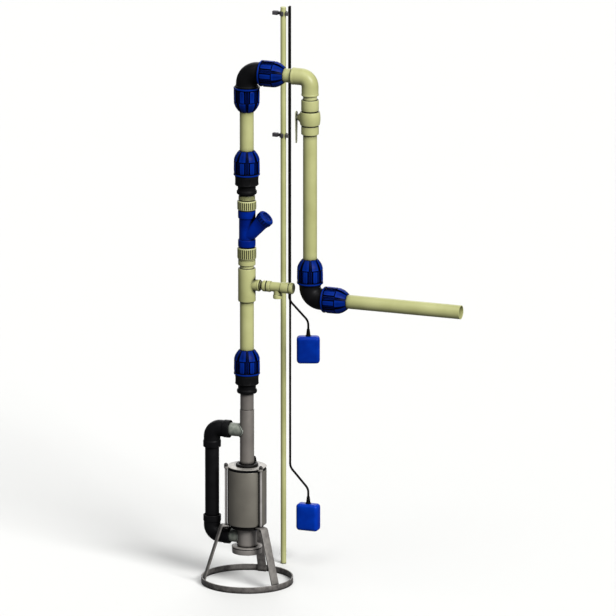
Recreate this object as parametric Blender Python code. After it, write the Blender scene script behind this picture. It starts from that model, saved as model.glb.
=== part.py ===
"""A submersible pump on a ring stand, with its riser, valves, outlet pipework and level rail.

Metres, +Z up. The riser stands over the pump, and the outlet leaves along +X. The names
below give every place from the riser's axis and from the floor, and one empty carries
that axis to its place in the part's own frame, whose origin is under the middle of the
standing pieces. A profile is a row of (distance, radius) steps along a turned piece's axis.
"""
import math

import bmesh
import bpy
from mathutils import Matrix, Vector

# Fits
GAP = 0.0003
PAST = 0.010

# Roundness of the faceted solids
PIPE_SIDES = 20
SMALL_SIDES = 12
RAIL_SIDES = 16
MOTOR_SIDES = 32
RING_SIDES = 48
BEND_STEPS = 5
STRAP_STEPS = 3
CLIP_STEPS = 15
SHARP_ANGLE = math.radians(35)

# Directions
UP = Vector((0, 0, 1))
DOWN = Vector((0, 0, -1))
EAST = Vector((1, 0, 0))
WEST = Vector((-1, 0, 0))
SOUTH = Vector((0, -1, 0))

# Stand
RING_RADIUS = 0.165
RING_THICK = 0.005
RING_HEIGHT = 0.023
LEG_ANGLES = {"leg_right": -29, "leg_rear": 91, "leg_left": 211}
LEG_WIDTH = 0.032
LEG_THICK = 0.0055
LEG_FOOT_HEIGHT = 0.021
LEG_SHOULDER = 0.097
LEG_BEND_REACH = 0.087
LEG_BEND = 0.012
LEG_TAB_REACH = 0.0632

# Pump and motor
FLANGE_RADIUS = 0.055
FLANGE_BOTTOM = 0.111
BARREL_BOTTOM = 0.1362
BARREL_RADIUS = 0.0355
INLET_RADIUS = 0.024
PLATE_BOTTOM = 0.204
PLATE_RADIUS = 0.0627
MOTOR_BOTTOM = 0.218
MOTOR_RADIUS = 0.070
MOTOR_FILLET = ((0, 0.0045), (0.0014, 0.0014), (0.0045, 0))
COVER_BOTTOM = 0.424
COVER_TOP = 0.432
COVER_EDGE = 0.0015
COLLAR_TOP = 0.441
COLLAR_RADIUS = 0.0395
RISER_FOOT = 0.429
ROD_RADIUS = 0.0045
ROD_CIRCLE = 0.0765
EAR_WIDTH = 0.020
EAR_BOTTOM = 0.4255
EAR_TOP = 0.4328
EAR_ROOT = 0.064
EAR_REACH = 0.0835
GLAND_PLACE = Vector((0.0131, 0.0372, COLLAR_TOP))
GLAND_PROFILE = ((0, 0.0075), (0.007, 0.0075), (0.007, 0.006), (0.0145, 0.006), (0.0175, 0.004))
GLAND_BOSS = 0.0105
GLAND_BOSS_TOP = 0.4406

# Steel riser and the bypass beside it
STEEL_RADIUS = 0.0255
STEEL_BORE = 0.0215
STEEL_STEP = 0.640
STEEL_TOP_RADIUS = 0.02415
STUB_RADIUS = 0.024
STUB_ROOT = 0.0235
STUB_REACH = 0.090
BYPASS_X = -0.134
BYPASS_TOP = 0.561
BYPASS_BOTTOM = 0.169
BYPASS_RADIUS = 0.0253
BYPASS_BORE = 0.021
BYPASS_SOCKET = 0.032
BYPASS_BODY = 0.030
BYPASS_BEND = 0.033
BYPASS_REACH = 0.070
BYPASS_RIM = (0.040, 0.038)
BYPASS_STOP = 0.0437

# Plastic pipe and the fittings that grip it
PIPE_RADIUS = 0.025
PIPE_BORE = 0.022
SEAT = PIPE_RADIUS + GAP
STOP_BORE = 0.0205
FITTING_BORE = 0.021
SOCKET_RADIUS = 0.0315
SOCKET_EDGE = 0.002
ADAPTOR_LOWER = 0.702
ADAPTOR_UPPER = 1.434
ADAPTOR_LENGTH = 0.0687
ADAPTOR_BEAD = ((0, 0.0337), (0.0035, 0.0362), (0.014, 0.0362))
ADAPTOR_NECK = ((0.014, 0.0322), (0.0315, 0.0322))
ADAPTOR_BODY = ((0.0335, 0.0425), (ADAPTOR_LENGTH, 0.0425))
ADAPTOR_SOCKET = ADAPTOR_LENGTH - 0.024
RISER_STOP = 0.0143
SPIGOT_LENGTH = 0.0155
SPIGOT_RADIUS = 0.024

# Compression nut: distance from its body, radius between its lugs, radius over them
NUT_LENGTH = 0.0893
NUT_PROFILE = (
    (0, 0.0425, 0.0442),
    (0.0025, 0.0435, 0.0475),
    (0.054, 0.0435, 0.0475),
    (0.0715, 0.0380, 0.0420),
    (NUT_LENGTH, 0.0265, 0.0290),
)
NUT_LUGS = 8
LUG_FOOT = 0.31
LUG_TOP = 0.27

# Compression elbow
ELBOW_REACH = 0.054
ELBOW_BEND = 0.042
ELBOW_RADIUS = 0.0385
PIPE_STOP = 0.0445

# Heights up the riser
TEE_BOTTOM = 1.040
TEE_TOP = 1.162
TEE_MIDDLE = (TEE_BOTTOM + TEE_TOP) / 2
TEE_SEAT = 0.0243
TEE_BRANCH = ((0, 0.021), (0.049, 0.021), (0.051, 0.0195))
TEE_BRANCH_BORE = ((0, 0.012), (0.038, 0.012), (0.038, 0.0163), (0.061, 0.0163))
UNION_LOWER = 1.173
UNION_SEAT = 0.014
UNION_TAIL_RADIUS = 0.031
UNION_NUT_LOWER = 1.1963
UNION_NUT_RADIUS = 0.034
VALVE_BOTTOM = 1.2383
VALVE_TOP = 1.376
VALVE_BODY = 0.028
VALVE_COLLARS = ((1.241, 1.2425, 1.266, 1.268), (1.345, 1.347, 1.373, 1.375))
VALVE_BRANCH = 1.278
VALVE_BRANCH_PROFILE = ((0, 0.0268), (0.088, 0.0268))
VALVE_CAP_PROFILE = ((0.0883, 0.031), (0.1055, 0.031), (0.1095, 0.027))
UNION_NUT_UPPER = VALVE_TOP + GAP
UNION_UPPER = 1.4113
UNION_TOP = 1.430
UNION_TOP_RADIUS = 0.030
SPIGOT_STOP = 0.0069
TOP_Z = 1.8805

# Relief branch, distances from the riser's axis
RELIEF_PROFILE = (
    (0.0383, 0.016),
    (0.0625, 0.016),
    (0.0625, 0.020),
    (0.092, 0.020),
    (0.092, 0.0175),
    (0.133, 0.0175),
    (0.133, 0.020),
    (0.165, 0.020),
)
RELIEF_CAP_PROFILE = ((0.1653, 0.0205), (0.1755, 0.0205), (0.178, 0.018))
RELIEF_PORT_X = 0.1175
RELIEF_PORT_PROFILE = ((0, 0.0145), (0.028, 0.0145), (0.028, 0.0165), (0.041, 0.0165))
RELIEF_PORT_BORE = ((0.008, 0.0115), (0.060, 0.0115))

# Outlet
DROP_X = 0.241
OUTLET_Z = 1.0715
OUTLET_END = 0.815
PVC_REACH = 0.066
PVC_BEND = 0.033
PVC_RADIUS = 0.0302
PVC_RIM = ((PVC_REACH, 0.031), (0.061, 0.031), (0.060, PVC_RADIUS))
PVC_BORE = 0.0215
PVC_STOP = 0.042

# Ball valve, distances from its stem's axis
BALL_MIDDLE = 1.732
BALL_LOW = -0.059
BALL_HIGH = 0.068
BALL_LOW_STOP = -0.042
BALL_HIGH_STOP = 0.0545
BALL_BELLY = (
    (-0.0262, SOCKET_RADIUS),
    (-0.0245, 0.0348),
    (0, 0.0373),
    (0.0245, 0.0348),
    (0.0262, SOCKET_RADIUS),
)
BALL_BORE = 0.020
BOSS_PROFILE = ((0.030, 0.020), (0.044, 0.012))
BOSS_END = 0.044

# Lever, hanging from its stem when the valve is open
LEVER_PLANE = 0.189
LEVER_THICK = 0.003
LEVER_HEAD = 0.011
LEVER_TIP = 0.006
LEVER_DROP = 0.090
HUB_RADIUS = 0.0085

# Level rail and its clips; boxes are corners measured from the rail's axis and the clip's middle
RAIL_X = 0.031
RAIL_Y = 0.284
RAIL_RADIUS = 0.010
RAIL_TOP = 2.058
CLIP_HEIGHTS = {"rail_clip_upper": 2.034, "rail_clip_lower": 1.586}
CLIP_OUTER = 0.0135
CLIP_HALF = 0.0075
CLIP_BAND = (6, 291)
CLIP_WALL = ((-0.040, -0.0075, -0.0070), (-0.020, 0.0075, 0.0070))
CLIP_NECK = ((-0.025, -0.0035, -0.0050), (-0.0117, 0.0035, 0.0050))
CLIP_SADDLE = ((0.0112, -0.0090, -0.0060), (0.0243, 0.0090, 0.0060))

# Float switches, and the leads that hang beside the rail and swing out over them
LEAD_X = 0.0553
LEAD_RADIUS = 0.004
LEAD_OFFSET = 0.0042
LEAD_TOP = 2.062
LEAD_SPANS = 9
FLOAT_X = 0.1265
FLOAT_SIZE = Vector((0.083, 0.045, 0.099))
FLOAT_ROUNDING = 0.012
FLOAT_TOPS = {"float_upper": 0.8533, "float_lower": 0.2320}
FLOAT_TURNS = {"float_upper": math.radians(20.8), "float_lower": 0.0}

# A lead's swing, chosen by hand: share of the way from the rail's side to over the float,
# share of the way from its own hanging line to the float's middle, height over the float
LEAD_SWING = (
    (0.000, 0.00, 0.1600),
    (0.000, 0.00, 0.1500),
    (0.000, 0.00, 0.1418),
    (0.016, 0.00, 0.1332),
    (0.062, 0.00, 0.1251),
    (0.135, 0.05, 0.1181),
    (0.260, 0.18, 0.1090),
    (0.500, 0.50, 0.0914),
    (0.740, 0.82, 0.0738),
    (0.865, 0.95, 0.0649),
    (0.938, 1.00, 0.0579),
    (0.984, 1.00, 0.0498),
    (1.000, 1.00, 0.0412),
    (1.000, 1.00, 0.0330),
    (1.000, 1.00, 0.0180),
    (1.000, 1.00, GAP),
)

# Footprint of the standing pieces, which sets where the riser's axis is in the frame
FOOT_WEST = BYPASS_X - BYPASS_SOCKET
FOOT_SOUTH = -RING_RADIUS
FOOT_NORTH = RAIL_Y + CLIP_OUTER
AXIS_X = -(FOOT_WEST + OUTLET_END) / 2
AXIS_Y = -(FOOT_SOUTH + FOOT_NORTH) / 2

# Colour, metallic and roughness of each material
MATERIALS = {
    "stand_steel": ((0.17, 0.16, 0.15), 0.8, 0.45),
    "pump_steel": ((0.25, 0.23, 0.21), 0.85, 0.35),
    "dark_casting": ((0.03, 0.03, 0.03), 0.3, 0.55),
    "black_plastic": ((0.012, 0.012, 0.013), 0.0, 0.45),
    "blue_plastic": ((0.0, 0.03, 0.33), 0.0, 0.38),
    "cream_pvc": ((0.53, 0.55, 0.24), 0.0, 0.40),
    "pale_plastic": ((0.62, 0.64, 0.45), 0.0, 0.45),
    "cable_rubber": ((0.01, 0.01, 0.01), 0.0, 0.60),
}


def clear_scene():
    for old in list(bpy.data.objects):
        bpy.data.objects.remove(old, do_unlink=True)


def make_material(name):
    colour, metallic, roughness = MATERIALS[name]
    material = bpy.data.materials.get(name) or bpy.data.materials.new(name)
    material.use_nodes = True
    shader = material.node_tree.nodes["Principled BSDF"]
    shader.inputs["Base Color"].default_value = (*colour, 1.0)
    shader.inputs["Metallic"].default_value = metallic
    shader.inputs["Roughness"].default_value = roughness
    return material


def turn_to(direction):
    """The rotation that carries local +Z onto a direction square to south, and local +X onto south."""
    return Matrix((SOUTH, direction.cross(SOUTH), direction)).transposed().to_4x4()


def add_object(name, data, material, place=None):
    """Link an object under the riser's axis, at a place relative to that axis."""
    thing = bpy.data.objects.new(name, data)
    bpy.context.scene.collection.objects.link(thing)
    thing.parent = bpy.data.objects["riser_axis"]
    thing.matrix_local = place or Matrix.Identity(4)
    data.materials.append(make_material(material))
    return thing


def finish_mesh(name, shape, material, place=None):
    """Turn a bmesh into an object with its faces out and its round faces smooth."""
    bmesh.ops.recalc_face_normals(shape, faces=shape.faces)
    mesh = bpy.data.meshes.new(name)
    shape.to_mesh(mesh)
    shape.free()
    mesh.shade_smooth()
    mesh.set_sharp_from_angle(angle=SHARP_ANGLE)
    return add_object(name, mesh, material, place)


def bridge(shape, low, high):
    """Close the band between two rings of the same number of corners."""
    following = zip(low[1:] + low[:1], high[1:] + high[:1])
    for first, second, (third, fourth) in zip(low, high, following):
        shape.faces.new((first, third, fourth, second))


def loft(name, rings, material, place=None, hollow=False):
    """A skin through a row of rings, capped at its ends, or led back inside when hollow."""
    shape = bmesh.new()
    loops = [[shape.verts.new(point) for point in points] for points in rings]
    for low, high in zip(loops, loops[1:]):
        bridge(shape, low, high)
    if hollow:
        bridge(shape, loops[-1], loops[0])
    else:
        shape.faces.new(loops[0])
        shape.faces.new(loops[-1])
    return finish_mesh(name, shape, material, place)


def round_ring(along, radius, sides):
    angles = [2 * math.pi * step / sides for step in range(sides)]
    return [Vector((radius * math.cos(a), radius * math.sin(a), along)) for a in angles]


def turned(name, foot, direction, outer, material, inner=None, sides=PIPE_SIDES):
    """A round piece from the profile of its outside, with the profile of its bore if it has one."""
    steps = list(outer) + list(reversed(inner or ()))
    rings = [round_ring(along, radius, sides) for along, radius in steps]
    place = Matrix.Translation(foot) @ turn_to(direction)
    return loft(name, rings, material, place, hollow=bool(inner))


def pipe(name, foot, direction, length, radius, bore, material, sides=PIPE_SIDES):
    """A plain tube."""
    outer = [(0, radius), (length, radius)]
    inner = [(0, bore), (length, bore)]
    return turned(name, foot, direction, outer, material, inner, sides)


def bend_frames(leg_in, leg_out, bend, steps):
    """Frames along the quarter bend between two legs that leave the corner."""
    centre = (leg_in + leg_out) * bend
    frames = []
    for step in range(1, steps):
        angle = math.pi / 2 * step / steps
        across = leg_out * math.cos(angle) + leg_in * math.sin(angle)
        travel = leg_out * math.sin(angle) - leg_in * math.cos(angle)
        frames.append((centre - across * bend, travel))
    return frames


def elbow_rings(leg_in, leg_out, bend, leg_steps, sides):
    """Rings from one mouth of an elbow, round its bend, to the other mouth."""
    side = leg_in.cross(leg_out)
    bend_radius = leg_steps[-1][1]
    stations = [(leg_in * along, -leg_in, radius) for along, radius in leg_steps]
    for centre, travel in bend_frames(leg_in, leg_out, bend, BEND_STEPS):
        stations.append((centre, travel, bend_radius))
    for along, radius in reversed(leg_steps):
        stations.append((leg_out * along, leg_out, radius))
    rings = []
    for centre, travel, radius in stations:
        across = travel.cross(side)
        points = []
        for step in range(sides):
            angle = 2 * math.pi * step / sides
            points.append(centre + (across * math.cos(angle) + side * math.sin(angle)) * radius)
        rings.append(points)
    return rings


def elbow(name, corner, legs, bend, outer, inner, material, sides=PIPE_SIDES):
    """A hollow elbow. outer and inner are profiles from the mouth in to the bend."""
    leg_in, leg_out = legs
    skin = elbow_rings(leg_in, leg_out, bend, outer, sides)
    bore = elbow_rings(leg_in, leg_out, bend, inner, sides)
    place = Matrix.Translation(corner)
    return loft(name, skin + list(reversed(bore)), material, place, hollow=True)


def nut_ring(along, corners):
    """A ring that repeats the same corners, each a share of the pitch and a radius, at every lug."""
    pitch = 2 * math.pi / NUT_LUGS
    points = []
    for lug in range(NUT_LUGS):
        for share, radius in corners:
            angle = pitch * (lug + share)
            points.append(Vector((radius * math.cos(angle), radius * math.sin(angle), along)))
    return points


def compression_nut(name, foot, direction):
    """A lugged nut, straight over its body and tapered down to the pipe."""
    rings = []
    for along, low, high in NUT_PROFILE:
        corners = ((-LUG_FOOT, low), (-LUG_TOP, high), (LUG_TOP, high), (LUG_FOOT, low))
        rings.append(nut_ring(along, corners))
    seat = ((-0.25, SEAT), (0, SEAT), (0.25, SEAT), (0.5, SEAT))
    rings.append(nut_ring(NUT_LENGTH, seat))
    rings.append(nut_ring(0, seat))
    place = Matrix.Translation(foot) @ turn_to(direction)
    return loft(name, rings, "blue_plastic", place, hollow=True)


def helper(thing):
    """Mark an object as a shape that only joins or cuts another."""
    thing.hide_render = True
    thing.display_type = "WIRE"
    return thing


def combine(target, tool, operation):
    modifier = target.modifiers.new(tool.name, "BOOLEAN")
    modifier.operation = operation
    modifier.solver = "EXACT"
    modifier.object = helper(tool)


def fuse(target, tool):
    combine(target, tool, "UNION")


def cut(target, tool):
    combine(target, tool, "DIFFERENCE")


def block(name, low, high, material, place=None):
    """A box between two corners."""
    shape = bmesh.new()
    bmesh.ops.create_cube(shape, size=1.0)
    low = Vector(low)
    high = Vector(high)
    bmesh.ops.scale(shape, vec=high - low, verts=shape.verts)
    bmesh.ops.translate(shape, vec=(low + high) / 2, verts=shape.verts)
    return finish_mesh(name, shape, material, place)


def slab(name, outline, push, material, place=None):
    """A flat outline pushed out into a slab."""
    shape = bmesh.new()
    corners = [shape.verts.new(point) for point in outline]
    face = shape.faces.new(corners)
    grown = bmesh.ops.extrude_face_region(shape, geom=[face])
    moved = [item for item in grown["geom"] if isinstance(item, bmesh.types.BMVert)]
    bmesh.ops.translate(shape, vec=push, verts=moved)
    return finish_mesh(name, shape, material, place)


def arc(centre, radius, start, end, steps):
    """Flat points along an arc, angles in degrees."""
    points = []
    for step in range(steps + 1):
        angle = math.radians(start + (end - start) * step / steps)
        points.append((centre[0] + radius * math.cos(angle), centre[1] + radius * math.sin(angle)))
    return points


def make_base_ring():
    inner = RING_RADIUS - RING_THICK
    pipe("base_ring", Vector((0, 0, 0)), UP, RING_HEIGHT, RING_RADIUS, inner, "stand_steel", RING_SIDES)


def leg_outline():
    """One leg's strap in its radial plane: foot, slope, rounded bend and inward tab."""
    ring_face = (RING_RADIUS - RING_THICK) * math.cos(math.pi / RING_SIDES) - GAP
    foot_out = math.sqrt(ring_face ** 2 - (LEG_WIDTH / 2) ** 2)
    foot_in = foot_out - LEG_THICK
    tab_top = MOTOR_BOTTOM - GAP
    tab_low = tab_top - LEG_THICK
    slope = math.degrees(math.atan2(tab_low - RING_HEIGHT, foot_in - LEG_SHOULDER))
    lean = 90 - slope
    centre = (LEG_BEND_REACH, tab_top - LEG_BEND)
    outside = arc(centre, LEG_BEND, lean, 90, STRAP_STEPS)
    inside = arc(centre, LEG_BEND - LEG_THICK, 90, lean, STRAP_STEPS)
    foot = [(foot_in, GAP), (foot_out, GAP), (foot_out, LEG_FOOT_HEIGHT)]
    tab = [(LEG_TAB_REACH, tab_top), (LEG_TAB_REACH, tab_low)]
    return foot + outside + tab + inside + [(foot_in, LEG_FOOT_HEIGHT)]


def turned_to_leg(degrees):
    return Matrix.Rotation(math.radians(degrees), 4, "Z")


def make_legs():
    for name, degrees in LEG_ANGLES.items():
        outline = [Vector((reach, -LEG_WIDTH / 2, height)) for reach, height in leg_outline()]
        slab(name, outline, Vector((0, LEG_WIDTH, 0)), "stand_steel", turned_to_leg(degrees))


def make_pump_end():
    foot = Vector((0, 0, FLANGE_BOTTOM))
    tall = BARREL_BOTTOM - FLANGE_BOTTOM
    pipe("intake_flange", foot, UP, tall, FLANGE_RADIUS, INLET_RADIUS, "pump_steel", MOTOR_SIDES)
    low = BARREL_BOTTOM + GAP
    barrel_steps = [(0, BARREL_RADIUS), (PLATE_BOTTOM - GAP - low, BARREL_RADIUS)]
    barrel = turned("pump_barrel", Vector((0, 0, low)), UP, barrel_steps, "pump_steel")
    stub_steps = [(0, STUB_RADIUS), (STUB_REACH, STUB_RADIUS)]
    stub_place = Vector((0, 0, BYPASS_BOTTOM))
    fuse(barrel, turned("barrel_stub", stub_place, WEST, stub_steps, "pump_steel"))


def make_motor():
    plate_tall = MOTOR_BOTTOM - GAP - PLATE_BOTTOM
    plate = [(0, PLATE_RADIUS), (plate_tall, PLATE_RADIUS)]
    turned("motor_lower_plate", Vector((0, 0, PLATE_BOTTOM)), UP, plate, "dark_casting", sides=MOTOR_SIDES)
    tall = COVER_BOTTOM - GAP - MOTOR_BOTTOM
    shell = [(rise, MOTOR_RADIUS - inset) for rise, inset in MOTOR_FILLET] + [(tall, MOTOR_RADIUS)]
    turned("motor_housing", Vector((0, 0, MOTOR_BOTTOM)), UP, shell, "pump_steel", sides=MOTOR_SIDES)


def make_top_cover():
    """The cover's disc, riser collar, gland boss and three ears, with the riser's seat cut in."""
    tall = COVER_TOP - COVER_BOTTOM
    disc = [(0, MOTOR_RADIUS), (tall - COVER_EDGE, MOTOR_RADIUS), (tall, MOTOR_RADIUS - COVER_EDGE)]
    foot = Vector((0, 0, COVER_BOTTOM))
    cover = turned("motor_top_cover", foot, UP, disc, "pump_steel", sides=MOTOR_SIDES)
    inside = tall / 2
    collar = [(inside, COLLAR_RADIUS), (COLLAR_TOP - COVER_BOTTOM, COLLAR_RADIUS)]
    fuse(cover, turned("cover_collar", foot, UP, collar, "pump_steel"))
    boss = [(inside, GLAND_BOSS), (GLAND_BOSS_TOP - COVER_BOTTOM, GLAND_BOSS)]
    boss_foot = Vector((GLAND_PLACE.x, GLAND_PLACE.y, COVER_BOTTOM))
    fuse(cover, turned("gland_boss", boss_foot, UP, boss, "pump_steel", sides=SMALL_SIDES))
    for name, degrees in LEG_ANGLES.items():
        low = (EAR_ROOT, -EAR_WIDTH / 2, EAR_BOTTOM)
        high = (EAR_REACH, EAR_WIDTH / 2, EAR_TOP)
        fuse(cover, block("ear_" + name, low, high, "pump_steel", turned_to_leg(degrees)))
    radius = STEEL_RADIUS + GAP
    seat = [(0, radius), (COLLAR_TOP - RISER_FOOT + PAST, radius)]
    cut(cover, turned("riser_seat", Vector((0, 0, RISER_FOOT)), UP, seat, "pump_steel"))


def make_tie_rods():
    rod = [(0, ROD_RADIUS), (EAR_BOTTOM - GAP - MOTOR_BOTTOM, ROD_RADIUS)]
    for name, degrees in LEG_ANGLES.items():
        foot = turned_to_leg(degrees) @ Vector((ROD_CIRCLE, 0, MOTOR_BOTTOM))
        turned(name.replace("leg", "tie_rod"), foot, UP, rod, "pump_steel", sides=SMALL_SIDES)


def make_cable_gland():
    """The motor's cable entry: a hexagon's envelope with a domed cap over it."""
    foot = GLAND_PLACE + UP * GAP
    turned("cable_gland", foot, UP, GLAND_PROFILE, "black_plastic", sides=SMALL_SIDES)


def make_steel_riser():
    """The pump's steel outlet pipe with its stub for the bypass."""
    low = RISER_FOOT + GAP
    top = ADAPTOR_LOWER + RISER_STOP - GAP
    body = [
        (0, STEEL_RADIUS),
        (STEEL_STEP - low, STEEL_RADIUS),
        (STEEL_STEP - low, STEEL_TOP_RADIUS),
        (top - low, STEEL_TOP_RADIUS),
    ]
    bore = [(0, STEEL_BORE), (top - low, STEEL_BORE)]
    riser = turned("steel_riser", Vector((0, 0, low)), UP, body, "pump_steel", bore)
    stub_steps = [(STUB_ROOT, STUB_RADIUS), (STUB_REACH, STUB_RADIUS)]
    fuse(riser, turned("riser_stub", Vector((0, 0, BYPASS_TOP)), WEST, stub_steps, "pump_steel"))


def make_bypass():
    rim_end, body_start = BYPASS_RIM
    outer = [
        (BYPASS_REACH, BYPASS_SOCKET),
        (rim_end, BYPASS_SOCKET),
        (body_start, BYPASS_BODY),
        (BYPASS_BEND, BYPASS_BODY),
    ]
    seat = BYPASS_RADIUS + GAP
    inner = [
        (BYPASS_REACH, seat),
        (BYPASS_STOP, seat),
        (BYPASS_STOP, BYPASS_BORE),
        (BYPASS_BEND, BYPASS_BORE),
    ]
    upper = Vector((BYPASS_X, 0, BYPASS_TOP))
    lower = Vector((BYPASS_X, 0, BYPASS_BOTTOM))
    elbow("bypass_upper_elbow", upper, (DOWN, EAST), BYPASS_BEND, outer, inner, "black_plastic")
    elbow("bypass_lower_elbow", lower, (EAST, UP), BYPASS_BEND, outer, inner, "black_plastic")
    foot = lower + UP * (BYPASS_STOP + GAP)
    tall = BYPASS_TOP - BYPASS_BOTTOM - 2 * (BYPASS_STOP + GAP)
    pipe("bypass_pipe", foot, UP, tall, BYPASS_RADIUS, BYPASS_BORE, "black_plastic")


def make_lower_adaptor():
    """A threaded body over the steel riser's end, with a nut that grips the plastic pipe."""
    outer = ADAPTOR_BEAD + ADAPTOR_NECK + ADAPTOR_BODY
    riser_seat = STEEL_TOP_RADIUS + GAP
    inner = [
        (0, riser_seat),
        (RISER_STOP, riser_seat),
        (RISER_STOP, STOP_BORE),
        (ADAPTOR_SOCKET, STOP_BORE),
        (ADAPTOR_SOCKET, SEAT),
        (ADAPTOR_LENGTH, SEAT),
    ]
    foot = Vector((0, 0, ADAPTOR_LOWER))
    turned("adaptor_lower_body", foot, UP, outer, "black_plastic", inner)
    compression_nut("adaptor_lower_nut", foot + UP * (ADAPTOR_LENGTH + GAP), UP)


def make_upper_adaptor():
    """The same body with a spigot below, which enters the union's tail."""
    spigot = ((-SPIGOT_LENGTH, SPIGOT_RADIUS), (0, SPIGOT_RADIUS))
    outer = spigot + ADAPTOR_BEAD + ADAPTOR_NECK + ADAPTOR_BODY
    inner = [
        (-SPIGOT_LENGTH, STOP_BORE),
        (ADAPTOR_SOCKET, STOP_BORE),
        (ADAPTOR_SOCKET, SEAT),
        (ADAPTOR_LENGTH, SEAT),
    ]
    foot = Vector((0, 0, ADAPTOR_UPPER))
    turned("adaptor_upper_body", foot, UP, outer, "black_plastic", inner)
    compression_nut("adaptor_upper_nut", foot + UP * (ADAPTOR_LENGTH + GAP), UP)


def make_riser_pipes():
    low = ADAPTOR_LOWER + ADAPTOR_SOCKET + GAP
    high = TEE_BOTTOM + TEE_SEAT - GAP
    pipe("riser_pipe_lower", Vector((0, 0, low)), UP, high - low, PIPE_RADIUS, PIPE_BORE, "cream_pvc")
    low = ADAPTOR_UPPER + ADAPTOR_SOCKET + GAP
    high = TOP_Z - PIPE_STOP
    pipe("riser_pipe_upper", Vector((0, 0, low)), UP, high - low, PIPE_RADIUS, PIPE_BORE, "cream_pvc")


def make_tee():
    """The riser's tee, bored through for the pipes and along its branch."""
    tall = TEE_TOP - TEE_BOTTOM
    foot = Vector((0, 0, TEE_BOTTOM))
    edge_radius = SOCKET_RADIUS - SOCKET_EDGE
    body = [
        (0, edge_radius),
        (SOCKET_EDGE, SOCKET_RADIUS),
        (tall - SOCKET_EDGE, SOCKET_RADIUS),
        (tall, edge_radius),
    ]
    tee = turned("riser_tee", foot, UP, body, "cream_pvc")
    middle = Vector((0, 0, TEE_MIDDLE))
    fuse(tee, turned("tee_branch", middle, EAST, TEE_BRANCH, "cream_pvc"))
    bore = [
        (-PAST, SEAT),
        (TEE_SEAT, SEAT),
        (TEE_SEAT, PIPE_BORE),
        (tall - TEE_SEAT, PIPE_BORE),
        (tall - TEE_SEAT, SEAT),
        (tall + PAST, SEAT),
    ]
    cut(tee, turned("tee_bore", foot, UP, bore, "cream_pvc"))
    cut(tee, turned("tee_branch_bore", middle, EAST, TEE_BRANCH_BORE, "cream_pvc"))


def make_relief():
    """A relief valve on the tee's branch, with its outlet socket pointing down."""
    place = Vector((0, 0, TEE_MIDDLE))
    valve = turned("relief_valve", place, EAST, RELIEF_PROFILE, "cream_pvc")
    port = Vector((RELIEF_PORT_X, 0, TEE_MIDDLE))
    fuse(valve, turned("relief_port", port, DOWN, RELIEF_PORT_PROFILE, "cream_pvc"))
    cut(valve, turned("relief_bore", port, DOWN, RELIEF_PORT_BORE, "cream_pvc"))
    turned("relief_cap", place, EAST, RELIEF_CAP_PROFILE, "cream_pvc")


def union_nut(name, low, high):
    tall = high - low
    edge_radius = UNION_NUT_RADIUS - SOCKET_EDGE
    outer = [
        (0, edge_radius),
        (SOCKET_EDGE, UNION_NUT_RADIUS),
        (tall - SOCKET_EDGE, UNION_NUT_RADIUS),
        (tall, edge_radius),
    ]
    turned(name, Vector((0, 0, low)), UP, outer, "cream_pvc", [(0, PVC_BORE), (tall, PVC_BORE)])


def make_lower_union():
    low = TEE_TOP - TEE_SEAT + GAP
    tall = UNION_LOWER + UNION_SEAT - GAP - low
    pipe("tee_nipple", Vector((0, 0, low)), UP, tall, PIPE_RADIUS, FITTING_BORE, "cream_pvc")
    tail = UNION_NUT_LOWER - GAP - UNION_LOWER
    outer = [
        (0, UNION_TAIL_RADIUS - SOCKET_EDGE),
        (SOCKET_EDGE, UNION_TAIL_RADIUS),
        (tail, UNION_TAIL_RADIUS),
    ]
    inner = [(0, SEAT), (UNION_SEAT, SEAT), (UNION_SEAT, FITTING_BORE), (tail, FITTING_BORE)]
    turned("union_lower_socket", Vector((0, 0, UNION_LOWER)), UP, outer, "cream_pvc", inner)
    union_nut("union_lower_nut", UNION_NUT_LOWER, VALVE_BOTTOM - GAP)


def make_check_valve():
    """A Y-pattern check valve: a straight body with collars, and a capped branch at 45 degrees."""
    steps = [(VALVE_BOTTOM, VALVE_BODY)]
    for start, low, high, end in VALVE_COLLARS:
        steps += [(start, VALVE_BODY), (low, SOCKET_RADIUS), (high, SOCKET_RADIUS), (end, VALVE_BODY)]
    steps.append((VALVE_TOP, VALVE_BODY))
    valve = turned("check_valve_body", Vector((0, 0, 0)), UP, steps, "blue_plastic")
    root = Vector((0, 0, VALVE_BRANCH))
    slant = (EAST + UP).normalized()
    fuse(valve, turned("check_valve_branch", root, slant, VALVE_BRANCH_PROFILE, "blue_plastic"))
    turned("check_valve_cap", root, slant, VALVE_CAP_PROFILE, "blue_plastic")


def make_upper_union():
    union_nut("union_upper_nut", UNION_NUT_UPPER, UNION_UPPER - GAP)
    tall = UNION_TOP - UNION_UPPER
    seat = SPIGOT_RADIUS + GAP
    outer = [
        (0, UNION_TOP_RADIUS),
        (tall - SOCKET_EDGE, UNION_TOP_RADIUS),
        (tall, UNION_TOP_RADIUS - SOCKET_EDGE),
    ]
    inner = [(0, STOP_BORE), (SPIGOT_STOP, STOP_BORE), (SPIGOT_STOP, seat), (tall, seat)]
    turned("union_upper_socket", Vector((0, 0, UNION_UPPER)), UP, outer, "cream_pvc", inner)


def compression_elbow(name, corner, legs, nut_names):
    """A black elbow with a lugged nut on each leg."""
    outer = [(ELBOW_REACH, ELBOW_RADIUS), (ELBOW_BEND, ELBOW_RADIUS)]
    stop = PIPE_STOP - GAP
    inner = [(ELBOW_REACH, SEAT), (stop, SEAT), (stop, STOP_BORE), (ELBOW_BEND, STOP_BORE)]
    elbow(name, corner, legs, ELBOW_BEND, outer, inner, "black_plastic")
    for leg, nut_name in zip(legs, nut_names):
        compression_nut(nut_name, corner + leg * (ELBOW_REACH + GAP), leg)


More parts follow.
